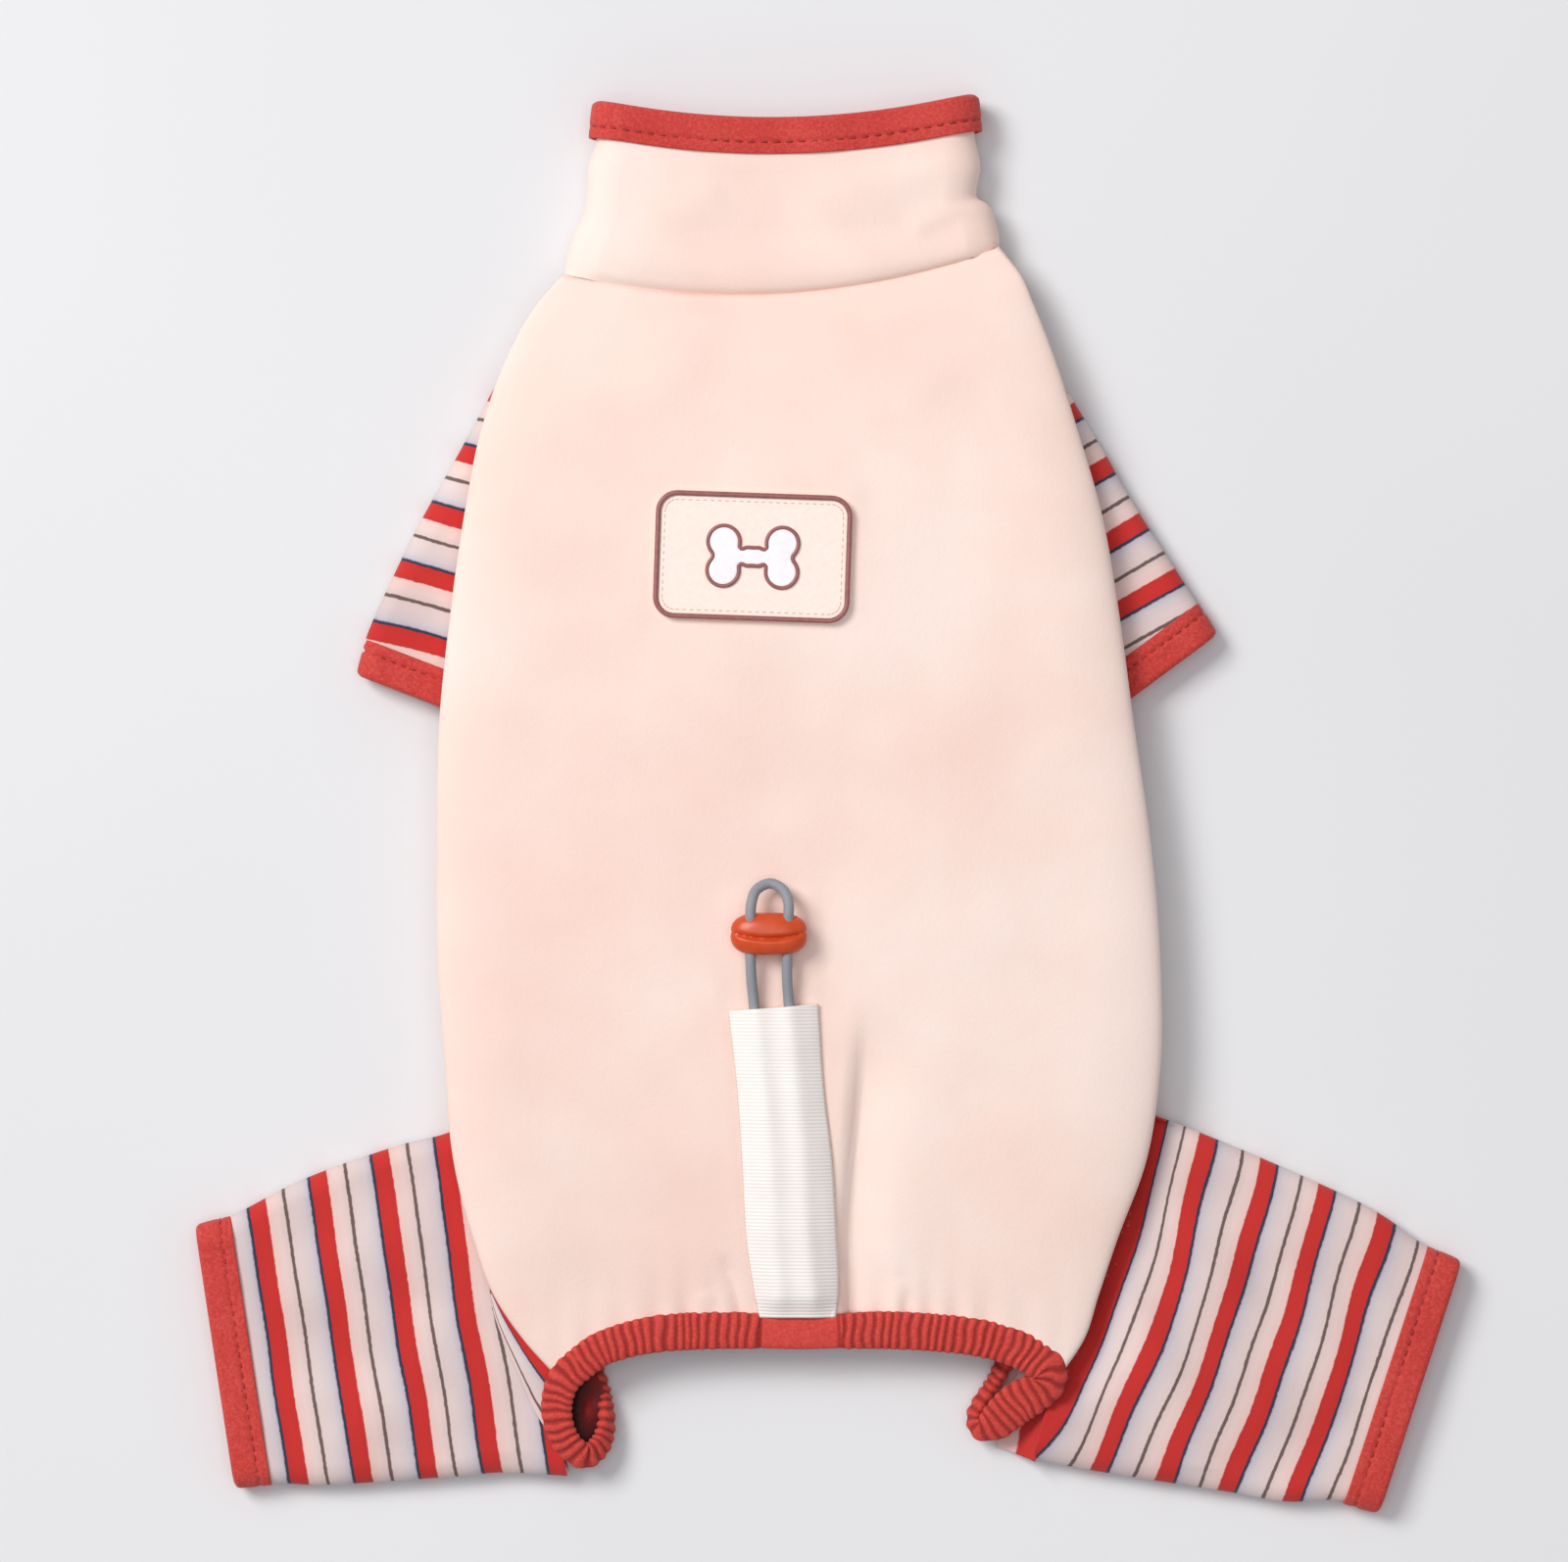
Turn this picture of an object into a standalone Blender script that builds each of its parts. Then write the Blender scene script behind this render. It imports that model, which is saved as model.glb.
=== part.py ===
"""Dog jumpsuit, laid flat on its belly side with its back up.

The garment is a hollow torso of two cloth panels, a stand-up collar, two short
sleeves and two long hind legs, all flattened tubes that rest on the floor z = 0.
Bound edges wrap the neck, the four cuffs and the rear opening. A drawcord in a
tape casing runs up the back to a loop with a stopper. A moulded patch sits on
the shoulders. +Y points from the tail to the neck, +X to the right as seen from
above. Lengths are in metres.
"""
import math

import bmesh
import bpy
import numpy as np

# Fit between neighbouring pieces
CLEARANCE = 0.0003
SEAM_GAP = 1.3 * CLEARANCE
SLIT_GAP = 10 * CLEARANCE
SAME_PLACE = 1e-6

# Torso
BODY_WIDTH = 0.185
BODY_LENGTH = 0.284
BODY_WALL = 0.0014
BODY_GAP = 0.0080
SIDE_TUCK = 0.0070
EDGE_ROLL_WIDTH = 0.0180
HEM_RISE = 0.0150
HEM_SQUARENESS = 5
BELLY_LENGTH = 0.235
BELLY_RAMP = 0.0140

# Neck and collar
NECK_WIDTH = 0.1108
NECK_SAG = 0.0083
COLLAR_LENGTH = 0.0440
COLLAR_GAP = 0.0095
COLLAR_WALL = 0.0018
COLLAR_SAG = 0.0055

# Sleeves and hind legs
LIMB_WALL = 0.0012
LIMB_GAP = 0.0050
FOLD_STRETCH = 1.3
SLEEVE_LENGTH = 0.0567
SLEEVE_CUFF_WIDTH = 0.0460
LEG_LENGTH = 0.0909
LEG_CUFF_WIDTH = 0.0663

# Bound edges
BINDING_WIDTH = 0.0095
BINDING_LAYER = 0.0007
REAR_BAND_WIDTH = 0.0088
REAR_BAND_THICKNESS = 0.0032
REAR_CURL_RADIUS = 0.0049

# Casing, drawcord and stopper
CASING_WIDTH = 0.0230
CASING_LENGTH = 0.0775
CASING_WALL = 0.0008
CORD_DIAMETER = 0.0027
STOPPER_WIDTH = 0.0195
STOPPER_LENGTH = 0.0108
STOPPER_HEIGHT = 0.0086
STOPPER_HOLE_SPACING = 0.0094
STOPPER_SPOKES = 12
END_ROUNDNESS = 3.2
SIDE_ROUNDNESS = 0.75

# Patch; its middle is at shares of BODY_WIDTH and BODY_LENGTH
PATCH_PLACE = (-0.0632, 0.7327)
PATCH_WIDTH = 0.0500
PATCH_HEIGHT = 0.0335
PATCH_THICKNESS = 0.0012
PATCH_CORNER = 0.0055
PATCH_RIM_WIDTH = 0.0013
PATCH_RELIEF = 0.0006
PATCH_TILT = math.radians(-2.0)
MOTIF_LENGTH = 0.0240
KNOB_RADIUS = 0.19 * MOTIF_LENGTH
BAR_HALF_HEIGHT = 0.115 * MOTIF_LENGTH

# Heights that follow from the layers
LIMB_HEIGHT = LIMB_GAP + 2 * LIMB_WALL
BINDING_REACH = CLEARANCE + BINDING_LAYER
CUFF_HEIGHT = LIMB_HEIGHT + 2 * BINDING_REACH
COLLAR_HEIGHT = COLLAR_GAP + 2 * COLLAR_WALL
SEAM_Z = CUFF_HEIGHT + CLEARANCE + BODY_WALL / 2
BODY_TOP_Z = SEAM_Z + BODY_WALL + BODY_GAP
HALF_WIDTH = BODY_WIDTH / 2

# Torso outline and height from the rear corners to the neck
# along: share of BODY_LENGTH; left, right: shares of the half width
# top: share of the height from the side seam up to the top of the back
BODY_SECTIONS = (
    # along, left, right, top
    (-0.01, 0.645, 0.700, 0.22),
    (0.03, 0.758, 0.786, 0.40),
    (0.07, 0.841, 0.827, 0.57),
    (0.12, 0.897, 0.878, 0.74),
    (0.19, 0.951, 0.957, 0.88),
    (0.27, 0.973, 0.995, 0.96),
    (0.37, 0.995, 0.996, 1.00),
    (0.48, 0.997, 0.968, 1.00),
    (0.58, 0.991, 0.924, 1.00),
    (0.68, 0.960, 0.883, 0.98),
    (0.77, 0.921, 0.835, 0.93),
    (0.85, 0.871, 0.764, 0.83),
    (0.91, 0.805, 0.705, 0.68),
    (0.96, 0.719, 0.646, 0.45),
    (0.986, 0.649, 0.611, 0.28),
    (1.01, 0.590, 0.551, 0.21),
)
NECK_LEFT_ALONG = 0.986
NECK_RIGHT_ALONG = 1.010

# Collar side edges, from the neck seam up
# out: shares of half the neck width; rise: shares of COLLAR_LENGTH; sag: share from seam to top
COLLAR_SECTIONS = (
    # left_out, left_rise, right_out, right_rise, sag
    (-1.000, -0.077, 1.000, 0.076, 0.00),
    (-0.977, 0.088, 1.009, 0.139, 0.15),
    (-0.913, 0.269, 0.973, 0.303, 0.45),
    (-0.897, 0.400, 0.905, 0.380, 0.70),
    (-0.888, 0.560, 0.921, 0.560, 0.90),
)
COLLAR_TOP = (-0.850, 0.935, 0.895, 0.975)

# Where each limb leaves the torso, and how it lies
# lead is the forward fold, trail the rear one; across: share of the half width,
# along: share of BODY_LENGTH; reach: share of the limb's length; drift: share of the cuff width
LIMBS = {
    "sleeve_left": dict(
        side=-1, length=SLEEVE_LENGTH, width=SLEEVE_CUFF_WIDTH, heading=-111.0,
        reach=1.00, drift=0.074, lead=(-0.819, 0.887), trail=(-0.635, 0.669),
        # lead_along, lead_across, trail_along, trail_across: shares of length and cuff width
        rows=((-0.12, 0.500, 0.58, -0.430), (0.33, 0.573, 0.70, -0.422)),
    ),
    "sleeve_right": dict(
        side=1, length=SLEEVE_LENGTH, width=SLEEVE_CUFF_WIDTH, heading=-53.4,
        reach=0.95, drift=-0.102, lead=(0.730, 0.880), trail=(0.557, 0.669),
        rows=((0.01, 0.537, 0.52, -0.570), (0.32, 0.514, 0.66, -0.585)),
    ),
    "hind_leg_left": dict(
        side=-1, length=LEG_LENGTH, width=LEG_CUFF_WIDTH, heading=-171.4,
        reach=0.872, drift=-0.039, lead=(-0.878, 0.224), trail=(-0.635, -0.095),
        rows=((0.18, 0.675, 0.15, -0.650), (0.35, 0.654, 0.32, -0.636), (0.68, 0.560, 0.67, -0.600)),
    ),
    "hind_leg_right": dict(
        side=1, length=LEG_LENGTH, width=LEG_CUFF_WIDTH, heading=-18.1,
        reach=1.00, drift=0.045, lead=(0.905, 0.229), trail=(0.643, -0.079),
        rows=((0.17, 0.715, 0.20, -0.655), (0.50, 0.672, 0.56, -0.580), (0.75, 0.580, 0.76, -0.550)),
    ),
}

# Centre line of the casing from its mouth to the rear hem
# along: share of CASING_LENGTH; across: shares of BODY_WIDTH; width: share of CASING_WIDTH
CASING_SECTIONS = (
    # along, across, width
    (0.00, -0.0351, 1.00),
    (0.25, -0.0257, 0.96),
    (0.50, -0.0160, 1.00),
    (0.75, -0.0100, 1.00),
    (0.90, -0.0040, 0.95),
    (1.00, -0.0015, 0.87),
)

# Route of the rear band beside each hind leg
# along: forward from the leg's rear fold, inward: away from the leg, both in curl radii;
# height: share of the side seam's height
CURL_ABOVE = (
    # along, inward, height
    (3.9, 0.0, 1.13),
    (2.9, 0.0, 0.80),
)
CURL_CENTRE = (1.3, 1.0, 0.65)
CURL_BELOW = (
    # along, inward
    (3.0, 2.0),
    (6.0, 1.4),
    (9.0, 0.4),
)
CORNER_BELOW = (
    # back from the belly hem, inward
    (3.0, 0.0),
    (1.8, 0.2),
)

# Route of the drawcord: up one side, round the loop and down the other
CORD_ROUTE = (
    # x, y, z
    (-0.00490, 0.0210, 0.01730),
    (-0.00600, 0.0320, 0.01900),
    (-0.00680, 0.0420, 0.02020),
    (-0.00720, 0.0500, 0.02105),
    (-0.00795, 0.0600, 0.02180),
    (-0.00890, 0.0700, 0.02235),
    (-0.00990, 0.0800, 0.02270),
    (-0.01090, 0.0900, 0.02300),
    (-0.01150, 0.0955, 0.02320),
    (-0.01200, 0.1005, 0.02420),
    (-0.01225, 0.1063, 0.02510),
    (-0.01230, 0.1120, 0.02515),
    (-0.01230, 0.1175, 0.02510),
    (-0.01190, 0.1208, 0.02420),
    (-0.01040, 0.1236, 0.02340),
    (-0.00715, 0.1248, 0.02300),
    (-0.00400, 0.1236, 0.02340),
    (-0.00240, 0.1208, 0.02420),
    (-0.00280, 0.1175, 0.02510),
    (-0.00290, 0.1120, 0.02515),
    (-0.00295, 0.1063, 0.02510),
    (-0.00295, 0.1005, 0.02420),
    (-0.00260, 0.0955, 0.02320),
    (-0.00220, 0.0900, 0.02300),
    (-0.00120, 0.0800, 0.02270),
    (-0.00030, 0.0700, 0.02235),
    (0.00070, 0.0600, 0.02180),
    (0.00140, 0.0500, 0.02105),
    (0.00180, 0.0420, 0.02020),
    (0.00260, 0.0320, 0.01900),
    (0.00370, 0.0210, 0.01730),
)
STOPPER_Y = 0.1120

COLOURS = {
    "shell_jersey": (0.955, 0.765, 0.665),
    "striped_jersey": (0.760, 0.300, 0.270),
    "binding_jersey": (0.610, 0.062, 0.050),
    "casing_tape": (0.880, 0.850, 0.790),
    "cord_elastic": (0.270, 0.285, 0.310),
    "stopper_plastic": (0.680, 0.090, 0.030),
    "patch_rubber": (0.880, 0.760, 0.660),
    "relief_rubber": (0.320, 0.110, 0.110),
}


def smooth_read(along, values, where):
    """Read a table column at any place along it, on one smooth cubic through its rows."""
    slopes = np.gradient(values, along)
    where = np.clip(where, along[0], along[-1])
    row = np.clip(np.searchsorted(along, where) - 1, 0, len(along) - 2)
    span = along[row + 1] - along[row]
    part = (where - along[row]) / span
    rise = values[row + 1] - values[row]
    ahead = slopes[row] * span
    behind = slopes[row + 1] * span
    return values[row] + part * ahead + part**2 * (3 * rise - 2 * ahead - behind) \
        + part**3 * (ahead + behind - 2 * rise)


def smooth_step(share):
    share = np.clip(share, 0.0, 1.0)
    return share * share * (3 - 2 * share)


SECTIONS = np.array(BODY_SECTIONS)
ALONG = SECTIONS[:, 0] * BODY_LENGTH


def side_x(side, y):
    """Torso outline: x of the left (-1) or right (1) fold at y."""
    column = 1 if side < 0 else 2
    return side * HALF_WIDTH * smooth_read(ALONG, SECTIONS[:, column], np.asarray(y, float))


def top_z(y):
    """Height of the middle of the back panel's wall along the torso."""
    share = smooth_read(ALONG, SECTIONS[:, 3], np.asarray(y, float))
    return SEAM_Z + share * (BODY_TOP_Z - SEAM_Z)


NECK_LEFT = np.array([float(side_x(-1, NECK_LEFT_ALONG * BODY_LENGTH)), NECK_LEFT_ALONG * BODY_LENGTH])
NECK_RIGHT = NECK_LEFT + np.array([NECK_WIDTH, (NECK_RIGHT_ALONG - NECK_LEFT_ALONG) * BODY_LENGTH])


def hem_rise(across):
    """How far the rear hem stands forward of the rear corners, at -1 to 1 across."""
    return HEM_RISE * (1 - np.abs(across) ** HEM_SQUARENESS)


def back_section(share):
    """One row of the back panel from its left tucked edge over the top to the right one."""
    y_left = share * NECK_LEFT_ALONG * BODY_LENGTH
    y_right = share * NECK_RIGHT_ALONG * BODY_LENGTH
    left = float(side_x(-1, y_left))
    right = float(side_x(1, y_right))
    top = float(top_z((y_left + y_right) / 2))
    middle = (top + SEAM_Z) / 2
    half = (top - SEAM_Z) / 2
    under = np.radians([0.0, 45.0, 90.0])
    over = np.radians([30.0, 60.0, 90.0])
    inset = np.concatenate([SIDE_TUCK * (1 - np.sin(under)), EDGE_ROLL_WIDTH * (1 - np.cos(over))])
    height = np.concatenate([middle - half * np.cos(under), middle + half * np.sin(over)])
    flat = np.linspace(left + EDGE_ROLL_WIDTH, right - EDGE_ROLL_WIDTH, 7)[1:-1]
    x = np.concatenate([left + inset, flat, right - inset[::-1]])
    z = np.concatenate([height, np.full(len(flat), top), height[::-1]])
    across = np.clip((2 * x - left - right) / (right - left), -1, 1)
    y = y_left + (y_right - y_left) * (across + 1) / 2
    y = y + (1 - share) * hem_rise(across) - share * NECK_SAG * (1 - across**2)
    return np.stack([x, y, z], axis=1)


BACK_SHARES = np.concatenate([[0.0, 0.025, 0.055], np.linspace(0.09, 0.90, 19), [0.935, 0.97, 1.0]])
TUCK_LINES = np.array([back_section(share)[[0, -1], :2] for share in BACK_SHARES])


def seam_edge(side, y):
    """x of the belly panel's edge, which meets the tucked edge of the back panel at y."""
    line = TUCK_LINES[:, 0 if side < 0 else 1]
    return float(np.interp(y, line[:, 1], line[:, 0])) - side * 2 * CLEARANCE


def back_top(x, y):
    """Height of the back panel's upper face over (x, y).

    A row of the panel bends with x, so the row that passes through y is found in a few steps.
    """
    share = y / BODY_LENGTH
    for _ in range(8):
        left = side_x(-1, share * NECK_LEFT_ALONG * BODY_LENGTH)
        right = side_x(1, share * NECK_RIGHT_ALONG * BODY_LENGTH)
        across = np.clip((2 * x - left - right) / (right - left), -1, 1)
        length = BODY_LENGTH * (NECK_LEFT_ALONG + NECK_RIGHT_ALONG) / 2
        share = (y - hem_rise(across)) / (length - hem_rise(across) - NECK_SAG * (1 - across**2))
        share = np.clip(share, 0, 1)
    return top_z(share * length) + BODY_WALL / 2


def neck_line(x):
    """y of the neck seam at x: a shallow sag between the two shoulder corners."""
    share = (x - NECK_LEFT[0]) / NECK_WIDTH
    across = np.clip(2 * share - 1, -1, 1)
    return NECK_LEFT[1] + share * (NECK_RIGHT[1] - NECK_LEFT[1]) - NECK_SAG * (1 - across**2)


def clear_scene():
    for old in list(bpy.data.objects):
        bpy.data.objects.remove(old, do_unlink=True)


def make_material(name):
    material = bpy.data.materials.new(name)
    material.use_nodes = True
    shader = material.node_tree.nodes["Principled BSDF"]
    shader.inputs["Base Color"].default_value = (*COLOURS[name], 1.0)
    shader.inputs["Roughness"].default_value = 0.45 if "rubber" in name or "plastic" in name else 0.85
    shader.inputs["Metallic"].default_value = 0.0
    return material


def signed_volume(points, faces):
    total = 0.0
    for face in faces:
        first = points[face[0]]
        for second, third in zip(face[1:-1], face[2:]):
            total += np.dot(first, np.cross(points[second], points[third]))
    return total


def add_piece(name, points, faces, slot, wall=None):
    """Make one piece from points and faces; a cloth sheet gets its wall from Solidify."""
    points = np.asarray(points, float).reshape(-1, 3)
    faces = [tuple(int(index) for index in face) for face in faces]
    if wall is None and signed_volume(points, faces) < 0:
        faces = [face[::-1] for face in faces]
    mesh = bpy.data.meshes.new(name)
    mesh.from_pydata(points.tolist(), [], faces)
    mesh.validate()
    mesh.shade_smooth()
    mesh.set_sharp_from_angle(angle=math.radians(50))
    piece = bpy.data.objects.new(name, mesh)
    bpy.context.scene.collection.objects.link(piece)
    mesh.materials.append(make_material(slot) if slot not in bpy.data.materials else bpy.data.materials[slot])
    if wall is not None:
        solid = piece.modifiers.new("wall", "SOLIDIFY")
        solid.thickness = wall
        solid.offset = 0.0
        solid.use_even_offset = True
        solid.use_rim = True
    return piece


def grid_faces(rows, columns, close_columns=False, close_rows=False, start=0):
    """Quads between neighbouring rows and columns of a grid of points."""
    faces = []
    for row in range(rows if close_rows else rows - 1):
        for column in range(columns if close_columns else columns - 1):
            after = (column + 1) % columns
            below = (row + 1) % rows
            faces.append((
                start + row * columns + column,
                start + row * columns + after,
                start + below * columns + after,
                start + below * columns + column,
            ))
    return faces


def add_sheet(name, grid, slot, wall):
    rows, columns, _ = grid.shape
    return add_piece(name, grid, grid_faces(rows, columns), slot, wall)


def add_tube(name, loops, slot, wall):
    rows, columns, _ = loops.shape
    return add_piece(name, loops, grid_faces(rows, columns, close_columns=True), slot, wall)


def add_ring(name, stations, slot):
    """A closed ring from a closed profile at every station of a closed path."""
    rows, columns, _ = stations.shape
    faces = grid_faces(rows, columns, close_columns=True, close_rows=True)
    return add_piece(name, stations, faces, slot)


def flat_loop(lead, trail, height, lift, wall, sag=0.0, aside=(0.0, -1.0)):
    """Middle line of a flattened tube's wall between two folds, bowed by sag towards aside."""
    lead = np.asarray(lead, float)
    trail = np.asarray(trail, float)
    along = (trail - lead) / np.linalg.norm(trail - lead)
    half_height = (height - wall) / 2
    fold = FOLD_STRETCH * half_height
    first = lead + along * (wall / 2 + fold)
    last = trail - along * (wall / 2 + fold)
    flat = np.linspace(0.0, 1.0, 7)
    bend = np.radians(np.linspace(90.0, -90.0, 7))[1:-1]
    top = first + flat[:, None] * (last - first)
    out = last + np.cos(bend)[:, None] * fold * along
    back = top[::-1]
    home = first - np.cos(bend)[:, None] * fold * along
    plan = np.concatenate([top, out, back, home])
    level = np.concatenate([
        np.ones(7), np.sin(bend), -np.ones(7), -np.sin(bend)])
    centre = (lead + trail) / 2
    across = (plan - centre) @ along / (np.linalg.norm(trail - lead) / 2)
    plan = plan + np.asarray(aside) * (sag * (1 - across**2))[:, None]
    return np.column_stack([plan, lift + height / 2 + half_height * level])


def binding_stations(loop, axis, wall):
    """A folded binding round a tube's end: a U profile at every point of the end loop."""
    axis = np.array([*axis, 0.0])
    tangent = np.roll(loop, -1, axis=0) - np.roll(loop, 1, axis=0)
    normal = np.cross(tangent, axis)
    normal /= np.linalg.norm(normal, axis=1)[:, None]
    outward = np.sum(normal * (loop - loop.mean(axis=0)), axis=1)
    normal *= np.sign(outward.sum())
    slot = wall / 2 + CLEARANCE
    skin = slot + BINDING_LAYER
    cover = BINDING_WIDTH - BINDING_REACH
    profile = np.array([
        (-cover, skin), (BINDING_REACH - 0.5 * skin, skin), (BINDING_REACH, 0.5 * skin),
        (BINDING_REACH, -0.5 * skin), (BINDING_REACH - 0.5 * skin, -skin), (-cover, -skin),
        (-cover, -slot), (CLEARANCE, -slot), (CLEARANCE, slot), (-cover, slot),
    ])
    return loop[:, None, :] + profile[None, :, :1] * axis + profile[None, :, 1:] * normal[:, None, :]


def turned(vector, degrees):
    angle = math.radians(degrees)
    return np.array([
        vector[0] * math.cos(angle) - vector[1] * math.sin(angle),
        vector[0] * math.sin(angle) + vector[1] * math.cos(angle),
    ])


def limb_root(limb):
    size = np.array([HALF_WIDTH, BODY_LENGTH])
    return np.array(limb["lead"]) * size, np.array(limb["trail"]) * size


def limb_opening(limb):
    """Ends of the cuff's opening edge, and the direction that the cuff points in."""
    lead, trail = limb_root(limb)
    axis = turned(np.array([1.0, 0.0]), limb["heading"])
    across = turned(axis, 90.0 * limb["side"])
    centre = (lead + trail) / 2 + axis * limb["length"] * limb["reach"] + across * limb["width"] * limb["drift"]
    return centre + across * limb["width"] / 2, centre - across * limb["width"] / 2, axis


def build_limb(name, limb):
    """A flattened tube from its root at the torso to the cuff, and the cuff's binding."""
    lead, trail = limb_root(limb)
    open_lead, open_trail, axis = limb_opening(limb)
    across = turned(axis, 90.0 * limb["side"])
    centre = (lead + trail) / 2
    length = limb["length"] * limb["reach"]
    raise_by = (CUFF_HEIGHT - LIMB_HEIGHT) / 2
    chords = [(lead, trail, CUFF_HEIGHT, 0.0)]
    for number, (lead_a, lead_b, trail_a, trail_b) in enumerate(limb["rows"]):
        share = (number + 1) / (len(limb["rows"]) + 1)
        chords.append((
            centre + axis * length * lead_a + across * limb["width"] * lead_b,
            centre + axis * length * trail_a + across * limb["width"] * trail_b,
            CUFF_HEIGHT + share * (LIMB_HEIGHT - CUFF_HEIGHT),
            share * raise_by,
        ))
    for step in (BINDING_WIDTH + BINDING_REACH, BINDING_REACH):
        inward = -axis * step
        chords.append((open_lead + inward, open_trail + inward, LIMB_HEIGHT, raise_by))
    loops = np.array([flat_loop(a, b, height, lift, LIMB_WALL) for a, b, height, lift in chords])
    add_tube(name, loops, "striped_jersey", LIMB_WALL)
    cuff_name = name.replace("sleeve", "sleeve_cuff").replace("hind_leg", "hind_cuff")
    add_ring(cuff_name, binding_stations(loops[-1], axis, LIMB_WALL), "binding_jersey")


def build_back_panel():
    grid = np.array([back_section(share) for share in BACK_SHARES])
    grid[-1, :, 1] -= 1.5 * CLEARANCE
    add_sheet("back_panel", grid, "shell_jersey", BODY_WALL)


def belly_grid(y_rows, left_edge, right_edge, shares, height):
    """Rows of belly points between two edges; each row's y may bend with x."""
    rows = []
    for row, y in enumerate(y_rows):
        x = left_edge[row] + shares * (right_edge[row] - left_edge[row])
        line = y(x)
        rows.append(np.column_stack([x, line, height(x, line, row)]))
    return np.array(rows)


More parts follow.
